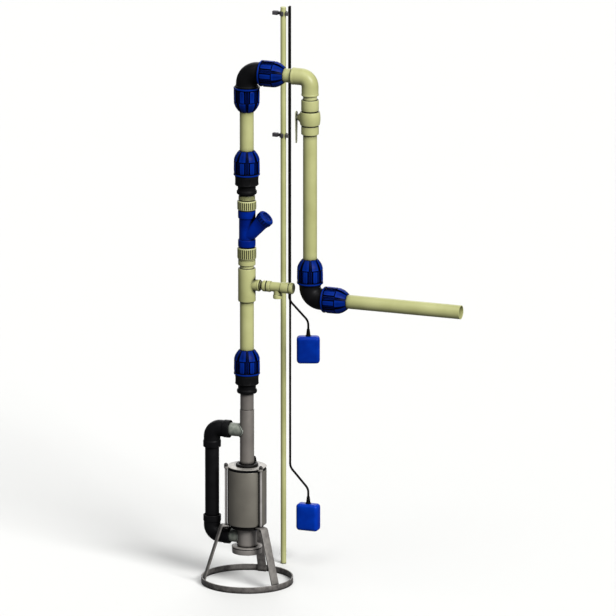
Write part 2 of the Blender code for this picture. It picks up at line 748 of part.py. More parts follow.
def make_gooseneck():
    """The top elbow, the short pipe across, and the cream elbow that turns down."""
    corner = Vector((0, 0, TOP_Z))
    nuts = ("top_elbow_nut_down", "top_elbow_nut_side")
    compression_elbow("top_elbow", corner, (DOWN, EAST), nuts)
    turn = Vector((DROP_X, 0, TOP_Z))
    length = DROP_X - PVC_STOP - GAP - PIPE_STOP
    pipe("gooseneck_pipe", corner + EAST * PIPE_STOP, EAST, length, PIPE_RADIUS, PIPE_BORE, "cream_pvc")
    outer = PVC_RIM + ((PVC_BEND, PVC_RADIUS),)
    inner = ((PVC_REACH, SEAT), (PVC_STOP, SEAT), (PVC_STOP, PVC_BORE), (PVC_BEND, PVC_BORE))
    elbow("pvc_elbow", turn, (WEST, DOWN), PVC_BEND, outer, inner, "cream_pvc")
    nipple = turn + DOWN * (PVC_STOP + GAP)
    tall = nipple.z - (BALL_MIDDLE + BALL_HIGH_STOP + GAP)
    pipe("elbow_nipple", nipple, DOWN, tall, PIPE_RADIUS, PVC_BORE, "cream_pvc")


def make_ball_valve():
    """A ball valve with a socket at each end and a boss for the lever's stem."""
    foot = Vector((DROP_X, 0, BALL_MIDDLE))
    outer = ((BALL_LOW, SOCKET_RADIUS),) + BALL_BELLY + ((BALL_HIGH, SOCKET_RADIUS),)
    inner = (
        (BALL_LOW, SEAT),
        (BALL_LOW_STOP, SEAT),
        (BALL_LOW_STOP, BALL_BORE),
        (BALL_HIGH_STOP, BALL_BORE),
        (BALL_HIGH_STOP, SEAT),
        (BALL_HIGH, SEAT),
    )
    valve = turned("ball_valve_body", foot, UP, outer, "cream_pvc", inner)
    fuse(valve, turned("stem_boss", foot, WEST, BOSS_PROFILE, "cream_pvc"))


def make_lever():
    """The lever hangs beside the pipe when the valve is open. Its origin is on the stem's axis."""
    head = arc((0, LEVER_HEAD), LEVER_HEAD, 0, 180, 6)
    tip = arc((0, -LEVER_DROP), LEVER_TIP, 180, 360, 4)
    outline = [Vector((-LEVER_THICK / 2, across, height)) for across, height in head + tip]
    pivot = Vector((LEVER_PLANE, 0, BALL_MIDDLE))
    place = Matrix.Translation(pivot)
    lever = slab("valve_lever", outline, Vector((LEVER_THICK, 0, 0)), "pale_plastic", place)
    hub = [(0, HUB_RADIUS), (DROP_X - BOSS_END - GAP - LEVER_PLANE, HUB_RADIUS)]
    fuse(lever, turned("lever_hub", pivot, EAST, hub, "pale_plastic", sides=SMALL_SIDES))


def make_outlet():
    corner = Vector((DROP_X, 0, OUTLET_Z))
    nuts = ("outlet_elbow_nut_up", "outlet_elbow_nut_side")
    compression_elbow("outlet_elbow", corner, (UP, EAST), nuts)
    low = corner + UP * PIPE_STOP
    tall = BALL_MIDDLE + BALL_LOW_STOP - GAP - low.z
    pipe("downpipe", low, UP, tall, PIPE_RADIUS, PIPE_BORE, "cream_pvc")
    length = OUTLET_END - DROP_X - PIPE_STOP
    foot = corner + EAST * PIPE_STOP
    pipe("discharge_pipe", foot, EAST, length, PIPE_RADIUS, PIPE_BORE, "cream_pvc")


def make_rail():
    rail = [(0, RAIL_RADIUS), (RAIL_TOP, RAIL_RADIUS)]
    turned("level_rail", Vector((RAIL_X, RAIL_Y, 0)), UP, rail, "cream_pvc", sides=RAIL_SIDES)


def make_clip(name, height):
    """A snap clip round the rail: a wall block on one side and a saddle for the leads."""
    place = Matrix.Translation(Vector((RAIL_X, RAIL_Y, height)))
    start, end = CLIP_BAND
    outside = arc((0, 0), CLIP_OUTER, start, end, CLIP_STEPS)
    inside = arc((0, 0), RAIL_RADIUS + GAP, end, start, CLIP_STEPS)
    outline = [Vector((x, y, -CLIP_HALF)) for x, y in outside + inside]
    clip = slab(name, outline, Vector((0, 0, 2 * CLIP_HALF)), "black_plastic", place)
    for label, (low, high) in (("wall", CLIP_WALL), ("neck", CLIP_NECK), ("saddle", CLIP_SADDLE)):
        fuse(clip, block(f"{name}_{label}", low, high, "black_plastic", place))
    for side in (-1, 1):
        foot = Vector((LEAD_X, RAIL_Y + side * LEAD_OFFSET, height - CLIP_HALF - PAST))
        channel = [(0, LEAD_RADIUS + GAP), (2 * (CLIP_HALF + PAST), LEAD_RADIUS + GAP)]
        cut(clip, turned(f"{name}_channel_{side}", foot, UP, channel, "black_plastic", sides=SMALL_SIDES))


def make_float(name, top):
    """A float switch's rounded case, hanging as its lead lets it turn."""
    half = FLOAT_SIZE / 2
    centre = Vector((FLOAT_X, RAIL_Y, top - half.z))
    place = Matrix.Translation(centre) @ Matrix.Rotation(FLOAT_TURNS[name], 4, "Z")
    case = block(name, -half, half, "blue_plastic", place)
    rounding = case.modifiers.new("rounding", "BEVEL")
    rounding.width = FLOAT_ROUNDING
    rounding.segments = 3


def smooth_route(points, shares):
    """Points of a smooth curve through a route, a few in each span."""
    padded = [2 * points[0] - points[1]] + points + [2 * points[-1] - points[-2]]
    route = []
    for before, start, end, after in zip(padded, padded[1:], padded[2:], padded[3:]):
        for step in range(shares):
            t = step / shares
            curve = 2 * start + (end - before) * t
            curve += (2 * before - 5 * start + 4 * end - after) * t ** 2
            curve += (3 * start - before - 3 * end + after) * t ** 3
            route.append(curve / 2)
    return route + [points[-1]]


def lead_route(side, float_top):
    """One lead's route: straight down on its side of the rail's plane, then out over its float."""
    hang = Vector((LEAD_X, RAIL_Y + side * LEAD_OFFSET, 0))
    reach = FLOAT_X - LEAD_X
    swing = []
    for out, across, height in LEAD_SWING:
        swing.append(hang + Vector((reach * out, -side * LEAD_OFFSET * across, float_top + height)))
    top = hang + UP * LEAD_TOP
    straight = [top.lerp(swing[0], step / LEAD_SPANS) for step in range(LEAD_SPANS)]
    return straight + smooth_route(swing, 2)


def make_lead(name, side, float_top):
    curve = bpy.data.curves.new(name, "CURVE")
    curve.dimensions = "3D"
    curve.bevel_depth = LEAD_RADIUS
    curve.bevel_resolution = 2
    curve.use_fill_caps = True
    route = lead_route(side, float_top)
    spline = curve.splines.new("POLY")
    spline.points.add(len(route) - 1)
    for point, place in zip(spline.points, route):
        point.co = (*place, 1.0)
    add_object(name, curve, "cable_rubber")


def make_level_gear():
    make_rail()
    for name, height in CLIP_HEIGHTS.items():
        make_clip(name, height)
    for name, top in FLOAT_TOPS.items():
        make_float(name, top)
    make_lead("float_lead_upper", -1, FLOAT_TOPS["float_upper"])
    make_lead("float_lead_lower", 1, FLOAT_TOPS["float_lower"])


def main():
    clear_scene()
    axis = bpy.data.objects.new("riser_axis", None)
    axis.location = (AXIS_X, AXIS_Y, 0)
    bpy.context.scene.collection.objects.link(axis)
    make_base_ring()
    make_legs()
    make_pump_end()
    make_motor()
    make_top_cover()
    make_tie_rods()
    make_cable_gland()
    make_steel_riser()
    make_bypass()
    make_lower_adaptor()
    make_upper_adaptor()
    make_riser_pipes()
    make_tee()
    make_relief()
    make_lower_union()
    make_check_valve()
    make_upper_union()
    make_gooseneck()
    make_ball_valve()
    make_lever()
    make_outlet()
    make_level_gear()


main()
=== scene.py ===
"""The visual model of the submersible pump, its riser, outlet pipework and level rail.

Metres, +Z up. Every place is measured from the riser's axis and from the floor. A profile is a row
of (distance, radius) steps along a turned piece's axis, and a third value there rounds the corner.
"""
import math

import bmesh
import bpy
from mathutils import Matrix, Vector


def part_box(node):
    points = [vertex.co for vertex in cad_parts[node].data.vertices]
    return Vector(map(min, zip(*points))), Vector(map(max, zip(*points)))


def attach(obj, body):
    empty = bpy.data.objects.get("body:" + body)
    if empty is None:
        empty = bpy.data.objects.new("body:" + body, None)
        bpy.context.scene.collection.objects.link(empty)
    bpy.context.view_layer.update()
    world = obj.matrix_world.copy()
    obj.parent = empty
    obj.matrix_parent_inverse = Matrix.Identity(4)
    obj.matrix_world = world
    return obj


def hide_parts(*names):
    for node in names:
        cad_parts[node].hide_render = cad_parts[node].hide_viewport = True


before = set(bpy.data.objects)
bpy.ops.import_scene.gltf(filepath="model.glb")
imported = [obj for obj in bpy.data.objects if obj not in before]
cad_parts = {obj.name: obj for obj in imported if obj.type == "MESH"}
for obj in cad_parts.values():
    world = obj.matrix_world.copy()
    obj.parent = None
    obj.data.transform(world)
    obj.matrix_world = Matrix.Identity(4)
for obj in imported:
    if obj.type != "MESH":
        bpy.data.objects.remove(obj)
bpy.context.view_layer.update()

# Directions
UP = Vector((0, 0, 1))
DOWN = Vector((0, 0, -1))
EAST = Vector((1, 0, 0))
WEST = Vector((-1, 0, 0))
SOUTH = Vector((0, -1, 0))
SLANT = (EAST + UP).normalized()

# Pieces that no node has a solid for
OWN_NAMES = (
    "barrel_stub", "riser_stub", "tie_rod_nuts", "cover_painted_shade_ring", "cover_collar",
    "float_upper_relief", "float_lower_relief",
)

# Bodies of the frame
FIXED = "pump_set"
LEVER = "lever"

# Fineness of the meshes
SIDES = 96
SMALL_SIDES = 40
RAIL_SIDES = 64
HEXAGON_SIDES = 72
MOTOR_SIDES = 144
RING_SIDES = 192
BEAD_SIDES = 10
BEND_STEPS = 28
ARC_STEPS = 10
FILLET_STEPS = 4
CORNER_STEPS = 4
FLAT_STEPS = 4
EDGE_SEGMENTS = 3
SHARP_ANGLE = math.radians(34)
GAP = 0.0003

# The riser's axis carries the pump
LOW, HIGH = map(Vector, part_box("motor_housing"))
AXIS = (LOW + HIGH) / 2
AXIS.z = 0.0
AT_AXIS = Matrix.Translation(AXIS)

# The photograph's view: nearly parallel, from the right and a little above
AZIMUTH = math.radians(20.8)
ELEVATION = math.radians(14.35)
PIXEL = 0.00357
FRAME_PIXELS = 616
AXIS_PIXEL = (246.9, 583.0)
CAMERA_DISTANCE = 60.0
LOOK_DEPTH = 0.25
SENSOR = 36
CLIP_RANGE = (1, 400)

# Suns: azimuth from straight in front towards +X, height and width in degrees, strength third
SUNS = {"key": (57, 33, 4.3, 26), "top": (8, 64, 1.5, 50), "back": (201, 25, 1.2, 50)}
SKY_COLOUR = (0.93, 0.95, 1.0, 1)
SKY_STRENGTH = 0.17
FLOOR_SIZE = 300
FLOOR_TONE = (0.655, 0.655, 0.64, 1)
FLOOR_ROUGHNESS = 0.8

# Stand
RING_RADIUS = 0.165
RING_THICK = 0.005
RING_HEIGHT = 0.023
LEG_ANGLES = {"leg_right": -29, "leg_rear": 91, "leg_left": 211}
LEG_WIDTH = 0.032
LEG_THICK = 0.0055
LEG_FOOT_HEIGHT = 0.021
LEG_FOOT = 0.1586
LEG_SHOULDER = 0.097
LEG_BEND_REACH = 0.087
LEG_BEND = 0.012
LEG_TAB_REACH = 0.0632

# Pump and motor
FLANGE_BOTTOM = 0.111
BARREL_BOTTOM = 0.1362
BARREL_RADIUS = 0.0355
PLATE_BOTTOM = 0.204
MOTOR_BOTTOM = 0.218
MOTOR_RADIUS = 0.07
COVER_BOTTOM = 0.424
COVER_TOP = 0.432
COLLAR_TOP = 0.441
ROD_RADIUS = 0.0045
ROD_CIRCLE = 0.0765
EAR_BOTTOM = 0.4255
EAR_TOP = 0.4328
GLAND_PLACE = Vector((0.0131, 0.0372, COLLAR_TOP))

# Steel riser and the bypass beside it
STEEL_RADIUS = 0.0255
STEEL_BORE = 0.0215
STEEL_FOOT = 0.4293
STEEL_STEP = 0.64
STEEL_TOP_RADIUS = 0.02415
STUB_RADIUS = 0.024
STUB_REACH = 0.09
BYPASS_X = -0.134
BYPASS_TOP = 0.561
BYPASS_BOTTOM = 0.169
BYPASS_RADIUS = 0.0253
BYPASS_BORE = 0.021
BYPASS_BEND = 0.033
BYPASS_STOP = 0.0437

# Plastic pipe and fittings
PIPE_RADIUS = 0.025
PIPE_BORE = 0.022
PIPE_CHAMFER = 0.0012
OUTLET_CHAMFER = 0.0008
SEAT = PIPE_RADIUS + GAP
STOP_BORE = 0.0205
SOCKET_RADIUS = 0.0315
SPIGOT_RADIUS = 0.024
SPIGOT_LENGTH = 0.0155
ADAPTOR_LOWER = 0.702
ADAPTOR_UPPER = 1.434
ADAPTOR_LENGTH = 0.0687
ADAPTOR_SOCKET = ADAPTOR_LENGTH - 0.024
RISER_STOP = 0.0143
ELBOW_REACH = 0.054
ELBOW_BEND = 0.042
ELBOW_RADIUS = 0.0385
PIPE_STOP = 0.0445

# Heights up the riser
TEE_BOTTOM = 1.04
TEE_TOP = 1.162
TEE_MIDDLE = (TEE_BOTTOM + TEE_TOP) / 2
TEE_SEAT = 0.0243
UNION_LOWER = 1.173
UNION_STOP = UNION_LOWER + 0.014
UNION_NUT_LOWER = 1.1963
VALVE_BOTTOM = 1.2383
VALVE_TOP = 1.376
VALVE_BODY = 0.028
VALVE_COLLARS = ((1.242, 1.2665), (1.3465, 1.3735))
VALVE_BRANCH = 1.278
UNION_UPPER = 1.4113
UNION_TOP = 1.43
UNION_NUT_RADIUS = 0.034
TOP_Z = 1.8805
RELIEF_PORT_X = 0.1175

# Outlet
DROP_X = 0.241
OUTLET_Z = 1.0715
OUTLET_END = 0.815
PVC_REACH = 0.066
PVC_BEND = 0.033
PVC_RADIUS = 0.0302
PVC_BORE = 0.0215
PVC_STOP = 0.042
BALL_MIDDLE = 1.732
BALL_LOW_STOP = -0.042
BALL_HIGH_STOP = 0.0545
LEVER_PLANE = 0.189


# Camera and studio

def add_object(name, data):
    thing = bpy.data.objects.new(name, data)
    bpy.context.scene.collection.objects.link(thing)
    return thing


def direction_to(azimuth, height):
    """The direction of a place seen from the object."""
    level = Vector((math.sin(azimuth), -math.cos(azimuth), 0))
    return level * math.cos(height) + UP * math.sin(height)


def make_camera():
    back = direction_to(AZIMUTH, ELEVATION)
    right = Vector((math.cos(AZIMUTH), math.sin(AZIMUTH), 0))
    up = back.cross(right)
    half = FRAME_PIXELS / 2
    aside = right * (half - AXIS_PIXEL[0]) * PIXEL
    target = AXIS + aside + up * (AXIS_PIXEL[1] - half) * PIXEL + back * LOOK_DEPTH
    data = bpy.data.cameras.new("photo_camera")
    data.sensor_width = SENSOR
    data.lens = SENSOR * CAMERA_DISTANCE / (FRAME_PIXELS * PIXEL)
    data.clip_start, data.clip_end = CLIP_RANGE
    camera = add_object("photo_camera", data)
    turn = Matrix((right, up, back)).transposed().to_4x4()
    camera.matrix_world = Matrix.Translation(target + back * CAMERA_DISTANCE) @ turn
    bpy.context.scene.camera = camera


def make_sun(name, azimuth, height, strength, width):
    data = bpy.data.lights.new(name, "SUN")
    data.energy = strength
    data.angle = math.radians(width)
    source = direction_to(math.radians(azimuth), math.radians(height))
    light = add_object(name, data)
    light.location = source
    light.rotation_euler = (-source).to_track_quat("-Z", "Y").to_euler()


def make_studio():
    """Soft suns, a dim even sky, and a pale floor that takes shadows but lights nothing itself."""
    for name, numbers in SUNS.items():
        make_sun(name, *numbers)
    world = bpy.data.worlds.new("studio")
    world.use_nodes = True
    background = world.node_tree.nodes["Background"]
    background.inputs["Color"].default_value = SKY_COLOUR
    background.inputs["Strength"].default_value = SKY_STRENGTH
    bpy.context.scene.world = world
    bpy.context.scene.view_settings.view_transform = "Standard"
    bpy.ops.mesh.primitive_plane_add(size=FLOOR_SIZE)
    floor = bpy.context.object
    floor.name = "floor"
    material = bpy.data.materials.new("floor")
    material.use_nodes = True
    shader = material.node_tree.nodes["Principled BSDF"]
    shader.inputs["Base Color"].default_value = FLOOR_TONE
    shader.inputs["Roughness"].default_value = FLOOR_ROUGHNESS
    floor.data.materials.append(material)
    floor.visible_diffuse = False
    floor.visible_glossy = False


# Finishes, with painted shade in their creases

# Slot, darker and lighter tone, painted crease shade tone and edge wear tone, metallic, shine, roughness
# range, patch and grain scale, grain stretch along each axis, bump height, reach of the painted crease
# shade, openness from full painted shade to clean
EVEN = (1, 1, 1)
AROUND = (0.06, 0.06, 1)
ALONG = (1, 1, 0.05)
LOOKS = {
    "stand": ("stand_steel", (80, 76, 74), (116, 112, 108), (10, 8, 8), (166, 163, 156), 0.4, 0.45,
              (0.42, 0.62), 60, 900, EVEN, 0.00035, 0.014, (0.5, 0.92)),
    "motor": ("pump_steel", (114, 110, 101), (123, 119, 109), (3, 3, 3), (180, 176, 168), 0.5, 0.28,
              (0.36, 0.5), 14, 1500, AROUND, 0.00012, 0.014, (0.6, 0.96)),
    # A lighter copy of the pump steel: painted light that lifts the barrel and flange out of the shade
    # beneath the motor
    "pump_end_painted_light": ("pump_steel", (132, 127, 122), (144, 139, 134), (3, 3, 3), (190, 185, 180), 0.45, 0.28,
                 (0.36, 0.5), 14, 1500, AROUND, 0.00012, 0.011, (0.54, 0.92)),
    "cover": ("pump_steel", (118, 114, 108), (142, 138, 131), (3, 3, 3), (196, 193, 186), 0.4, 0.4,
              (0.36, 0.5), 30, 1300, EVEN, 0.00015, 0.012, (0.55, 0.92)),
    "riser": ("pump_steel", (109, 104, 99), (123, 118, 112), (4, 4, 4), (180, 176, 170), 0.4, 0.35,
              (0.36, 0.5), 16, 1100, ALONG, 0.00012, 0.014, (0.52, 0.94)),
    # A lighter copy of the pump steel, partly a painted highlight lifted into the rods' colour
    "rod": ("pump_steel", (150, 146, 142), (172, 168, 164), (3, 3, 3), (200, 197, 192), 0.4, 0.45,
            (0.3, 0.42), 30, 1100, ALONG, 0.0001, 0.01, (0.5, 0.9)),
    "nut": ("pump_steel", (24, 23, 22), (42, 40, 38), (1, 1, 1), (124, 121, 117), 0.5, 0.45,
            (0.34, 0.5), 80, 1300, EVEN, 0.00015, 0.008, (0.5, 0.9)),
    "stub": ("pump_steel", (108, 114, 106), (138, 142, 132), (8, 8, 8), (186, 190, 182), 0.3, 0.45,
             (0.42, 0.58), 70, 900, EVEN, 0.0002, 0.012, (0.5, 0.9)),
    "casting": ("dark_casting", (12, 11, 11), (24, 22, 21), (1, 1, 1), (60, 58, 56), 0.2, 0.15,
                (0.45, 0.65), 45, 700, EVEN, 0.0005, 0.012, (0.5, 0.9)),
    "black": ("black_plastic", (10, 10, 11), (17, 17, 18), (0, 0, 0), (32, 32, 33), 0.0, 0.07,
              (0.38, 0.52), 22, 1300, EVEN, 0.00018, 0.012, (0.5, 0.9)),
    "clip": ("black_plastic", (50, 48, 51), (70, 68, 71), (1, 1, 1), (96, 94, 92), 0.0, 0.2,
             (0.38, 0.52), 60, 1300, EVEN, 0.00018, 0.006, (0.5, 0.9)),
    "blue": ("blue_plastic", (0, 38, 136), (0, 48, 156), (0, 0, 12), (4, 62, 196), 0.0, 0.08,
             (0.34, 0.46), 24, 1300, EVEN, 0.00014, 0.01, (0.5, 0.9)),
    # Navy and lugs: painted shade reaching far with a high openness, nearly black in the grooves and the
    # branch's crotch
    "navy": ("blue_plastic", (0, 24, 104), (0, 34, 128), (0, 0, 2), (6, 56, 168), 0.0, 0.05,
             (0.34, 0.46), 24, 1300, EVEN, 0.00014, 0.013, (0.7, 0.97)),
    "lugs": ("blue_plastic", (0, 18, 78), (0, 26, 98), (0, 0, 2), (6, 50, 156), 0.0, 0.04,
             (0.34, 0.46), 24, 1300, EVEN, 0.00014, 0.028, (0.76, 0.99)),
    "cream": ("cream_pvc", (153, 154, 102), (168, 169, 117), (14, 14, 4), (200, 201, 152), 0.0, 0.3,
              (0.32, 0.44), 9, 1100, ALONG, 0.0001, 0.018, (0.74, 0.98)),
    "rail": ("cream_pvc", (153, 154, 102), (168, 169, 117), (40, 40, 20), (200, 201, 152), 0.0, 0.3,
             (0.32, 0.44), 9, 1100, ALONG, 0.0001, 0.008, (0.5, 0.86)),
    # A lighter copy of the cream PVC with a short crease reach: painted light that keeps the short pipes
    # between fittings bright
    "nipple": ("cream_pvc", (162, 163, 111), (176, 177, 125), (10, 10, 2), (200, 201, 152), 0.0, 0.3,
               (0.32, 0.44), 9, 1100, ALONG, 0.0001, 0.004, (0.52, 0.9)),
    "pale": ("pale_plastic", (146, 148, 120), (162, 164, 136), (20, 20, 12), (206, 208, 184), 0.0, 0.3,
             (0.34, 0.48), 30, 1200, EVEN, 0.00014, 0.01, (0.5, 0.9)),
    "rubber": ("cable_rubber", (2, 2, 2), (7, 7, 7), (0, 0, 0), (10, 10, 10), 0.0, 0.06,
               (0.5, 0.68), 50, 1600, EVEN, 0.00015, 0.008, (0.5, 0.9)),
}
EDGE_SHARES = (0.515, 0.6)
EDGE_WEAR = 0.7
PATCH_SHARES = (0.34, 0.66)
GRAIN_SHARES = (0.3, 0.7)
PATCH_DETAIL = 5
GRAIN_DETAIL = 3
BUMP_STRENGTH = 0.5
# Samples of the ambient occlusion that paints shade into creases
PAINTED_SHADE_SAMPLES = 8
SHADED_FINISHES = {}

# The display's curve from stored values to light
DISPLAY_TOP = 255
DISPLAY_KNEE = 0.04045
DISPLAY_SLOPE = 12.92
DISPLAY_LIFT = 0.055
DISPLAY_POWER = 2.4


def tone(values):
    """A linear colour from red, green and blue display values."""
    linear = []
    for value in values:
        share = value / DISPLAY_TOP
        if share > DISPLAY_KNEE:
            linear.append(((share + DISPLAY_LIFT) / (1 + DISPLAY_LIFT)) ** DISPLAY_POWER)
        else:
            linear.append(share / DISPLAY_SLOPE)
    return (*linear, 1)


def add_noise(tree, scale, detail, stretch):
    """A noise in the piece's own coordinates, drawn out along the axes with small stretch values."""
    place = tree.nodes.new("ShaderNodeTexCoord")
    mapping = tree.nodes.new("ShaderNodeMapping")
    noise = tree.nodes.new("ShaderNodeTexNoise")
    mapping.inputs["Scale"].default_value = stretch
    noise.inputs["Scale"].default_value = scale
    noise.inputs["Detail"].default_value = detail
    tree.links.new(place.outputs["Object"], mapping.inputs["Vector"])
    tree.links.new(mapping.outputs["Vector"], noise.inputs["Vector"])
    return noise.outputs["Fac"]


def add_range(tree, value, source, target):
    """A value carried from one range to another, and held inside it."""
    node = tree.nodes.new("ShaderNodeMapRange")
    for socket, end in zip(("From Min", "From Max", "To Min", "To Max"), (*source, *target)):
        node.inputs[socket].default_value = end
    tree.links.new(value, node.inputs["Value"])
    return node.outputs["Result"]


def add_mix(tree, share, first, second):
    """A colour between two, each a fixed tone or another node's output."""
    node = tree.nodes.new("ShaderNodeMix")
    node.data_type = "RGBA"
    tree.links.new(share, node.inputs["Factor"])
    for socket, colour in ((node.inputs[6], first), (node.inputs[7], second)):
        if isinstance(colour, tuple):
            socket.default_value = colour
        else:
            tree.links.new(colour, socket)
    return node.outputs[2]


def make_finish_and_shade(name):
    """Patchy colour, painted shade darkening the creases, wear on edges, and grain in the gloss and the
    bump.
    """
    _, *tones, metal, shine, gloss, patch, grain, stretch, height, reach, openness = LOOKS[name]
    dark, light, painted_shade_tone, edge = map(tone, tones)
    material = bpy.data.materials.new(name + "_finish_and_shade")
    material.use_nodes = True
    tree = material.node_tree
    shader = tree.nodes["Principled BSDF"]
    patches = add_noise(tree, patch, PATCH_DETAIL, EVEN)
    grains = add_noise(tree, grain, GRAIN_DETAIL, stretch)
    body = add_mix(tree, add_range(tree, patches, PATCH_SHARES, (0, 1)), dark, light)
    geometry = tree.nodes.new("ShaderNodeNewGeometry")
    worn = add_range(tree, geometry.outputs["Pointiness"], EDGE_SHARES, (0, EDGE_WEAR))
    body = add_mix(tree, worn, body, edge)
    # Painted shade: ambient occlusion darkens the colour towards the painted shade tone in creases,
    # recesses and joints between parts
    shade = tree.nodes.new("ShaderNodeAmbientOcclusion")
    shade.samples = PAINTED_SHADE_SAMPLES
    shade.inputs["Distance"].default_value = reach
    body = add_mix(tree, add_range(tree, shade.outputs["AO"], openness, (0, 1)), painted_shade_tone, body)
    tree.links.new(body, shader.inputs["Base Color"])
    shader.inputs["Metallic"].default_value = metal
    shader.inputs["Specular IOR Level"].default_value = shine
    tree.links.new(add_range(tree, grains, GRAIN_SHARES, gloss), shader.inputs["Roughness"])
    bump = tree.nodes.new("ShaderNodeBump")
    bump.inputs["Strength"].default_value = BUMP_STRENGTH
    bump.inputs["Distance"].default_value = height
    tree.links.new(grains, bump.inputs["Height"])
    tree.links.new(bump.outputs["Normal"], shader.inputs["Normal"])
    SHADED_FINISHES[name] = material


# Shapes

CORNER_SHARE = 0.48
ROOT_SHARE = 0.9
GROOVE_SLOPE = 0.0005
GROOVE_ROOT = 0.0003
HEXAGON_CHAMFER = 0.16
HEXAGON_TURNED = 1.03
STEEP = 0.99
RIPPLE = 0.14
RIPPLE_PITCH = 2.1
ROUND_PROFILE = 0.5


def turn_to(direction):
    """The rotation that carries local +Z onto a direction square to south, and local +X onto south."""
    return Matrix((SOUTH, direction.cross(SOUTH), direction)).transposed().to_4x4()


def upright(x, y, z):
    """A place measured from the riser's axis, not turned."""
    return Matrix.Translation(AXIS + Vector((x, y, z)))


def at(x=0.0, y=0.0, z=0.0, direction=UP):
    """A place measured from the riser's axis, facing a direction."""
    return upright(x, y, z) @ turn_to(direction)


def turned_to_leg(degrees):
    return AT_AXIS @ Matrix.Rotation(math.radians(degrees), 4, "Z")


def curved(start, corner, end):
    """A short curve that rounds a corner."""
    shares = [step / FILLET_STEPS for step in range(FILLET_STEPS + 1)]
    return [start.lerp(corner, t).lerp(corner.lerp(end, t), t) for t in shares]


def rounded(steps, closed=False):
    """A profile's points, with each corner that names a fillet drawn as a short curve."""
    points = [Vector(step[:2]) for step in steps]
    last = len(points) - 1
    result = []
    for index, (corner, step) in enumerate(zip(points, steps)):
        if len(step) < 3 or (index in (0, last) and not closed):
            result.append(corner)
            continue
        back = points[index - 1] - corner
        onward = points[(index + 1) % len(points)] - corner
        start = corner + back.normalized() * min(step[2], back.length * CORNER_SHARE)
        end = corner + onward.normalized() * min(step[2], onward.length * CORNER_SHARE)
        result += curved(start, corner, end)
    return result


def band(low, high, inner, outer, chamfer):
    """A plain band's steps, its two outer corners rounded."""
    return (low, inner), (low, outer, chamfer), (high, outer, chamfer), (high, inner)


def groove(low, high, radius, floor, lip):
    """The steps across a groove with steep sides."""
    return (
        (low, radius, lip), (low + GROOVE_SLOPE, floor, GROOVE_ROOT),
        (high - GROOVE_SLOPE, floor, GROOVE_ROOT), (high, radius, lip),
    )


def circle(along, radius, sides=SIDES):
    angles = [2 * math.pi * step / sides for step in range(sides)]
    return [Vector((radius * math.cos(a), radius * math.sin(a), along)) for a in angles]


def circles(profile, sides=SIDES):
    return [circle(along, radius, sides) for along, radius in profile]


def dented_rings(rows, radius, sides, period, dents):
    """Rings dented at the same corners of every period. A row is a distance and a depth."""
    rings = circles([(along, 1) for along, _ in rows], sides)
    for ring, (_, depth) in zip(rings, rows):
        for index, point in enumerate(ring):
            point.xy *= radius - depth if index % period in dents else radius
    return rings


def bridge(shape, low, high):
    """Close the band between two rings of the same number of corners."""
    following = zip(low[1:] + low[:1], high[1:] + high[:1])
    for first, second, (third, fourth) in zip(low, high, following):
        shape.faces.new((first, third, fourth, second))


def add_skin(shape, rings, place, closed):
    """A skin through a row of rings, led back to the first ring when closed, and capped otherwise."""
    loops = [[shape.verts.new(place @ point) for point in ring] for ring in rings]
    for low, high in zip(loops, loops[1:]):
        bridge(shape, low, high)
    if closed:
        bridge(shape, loops[-1], loops[0])
    else:
        shape.faces.new(loops[0])
        shape.faces.new(loops[-1])


def add_turned(shape, steps, place, closed=False, sides=SIDES):
    """A turned shape. A closed profile goes out along its skin and back along its bore."""
    add_skin(shape, circles(rounded(steps, closed), sides), place, closed)


def finish_piece(name, shape, look, body=FIXED):
    """Turn a bmesh into a piece that rides on its body, and stands for its node if it has one."""
    bmesh.ops.recalc_face_normals(shape, faces=shape.faces)
    own = name in OWN_NAMES
    mesh = bpy.data.meshes.new(name if own else name + "_skin")
    shape.to_mesh(mesh)
    shape.free()
    mesh.shade_smooth()
    mesh.set_sharp_from_angle(angle=SHARP_ANGLE)
    mesh.materials.append(SHADED_FINISHES[look])
    piece = add_object(mesh.name, mesh)
    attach(piece, body)
    if not own:
        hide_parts(name)
    return piece


def skin_piece(name, rings, place, look, closed=True):
    shape = bmesh.new()
    add_skin(shape, rings, place, closed)
    return finish_piece(name, shape, look)


def turned_piece(name, steps, place, look, closed=False, sides=SIDES):
    return skin_piece(name, circles(rounded(steps, closed), sides), place, look, closed)


def tube_piece(name, place, length, look="cream", radius=PIPE_RADIUS, bore=PIPE_BORE,
               chamfer=PIPE_CHAMFER, sides=SIDES):
    ends = ((0, bore), (0, radius), (length, radius), (length, bore))
    turned_piece(name, [(*end, chamfer) for end in ends], place, look, True, sides)


def saddle_height(point, main_radius, lean=math.pi / 2):
    """How far along a branch's axis the round surface it springs from lies, at a point across it."""
    reach = math.sqrt(max(main_radius ** 2 - point.x ** 2, 0))
    return (reach - point.y * math.cos(lean)) / math.sin(lean)


def saddle_rings(main_radius, radius, fillet, lean):
    """Rings that lead from a round surface up to a branch of this radius, through a fillet."""
    columns = []
    for spread, straight in zip(circle(0, radius + fillet), circle(0, radius)):
        spread.z = saddle_height(spread, main_radius, lean)
        straight.z = saddle_height(straight, main_radius, lean)
        columns.append(curved(spread, straight, straight + UP * fillet))
    return [list(ring) for ring in zip(*columns)]


def add_branch(shape, place, main_radius, steps, fillet, root, lean=math.pi / 2, bore=()):
    """A branch on a round body. Its root ring lies inside the body, and it is hollow if it has a bore."""
    radius = steps[0][1]
    rings = [circle(root, radius * ROOT_SHARE)]
    rings += saddle_rings(main_radius, radius, fillet, lean)
    rings += circles(rounded(steps) + rounded(bore))
    add_skin(shape, rings, place, closed=bool(bore))


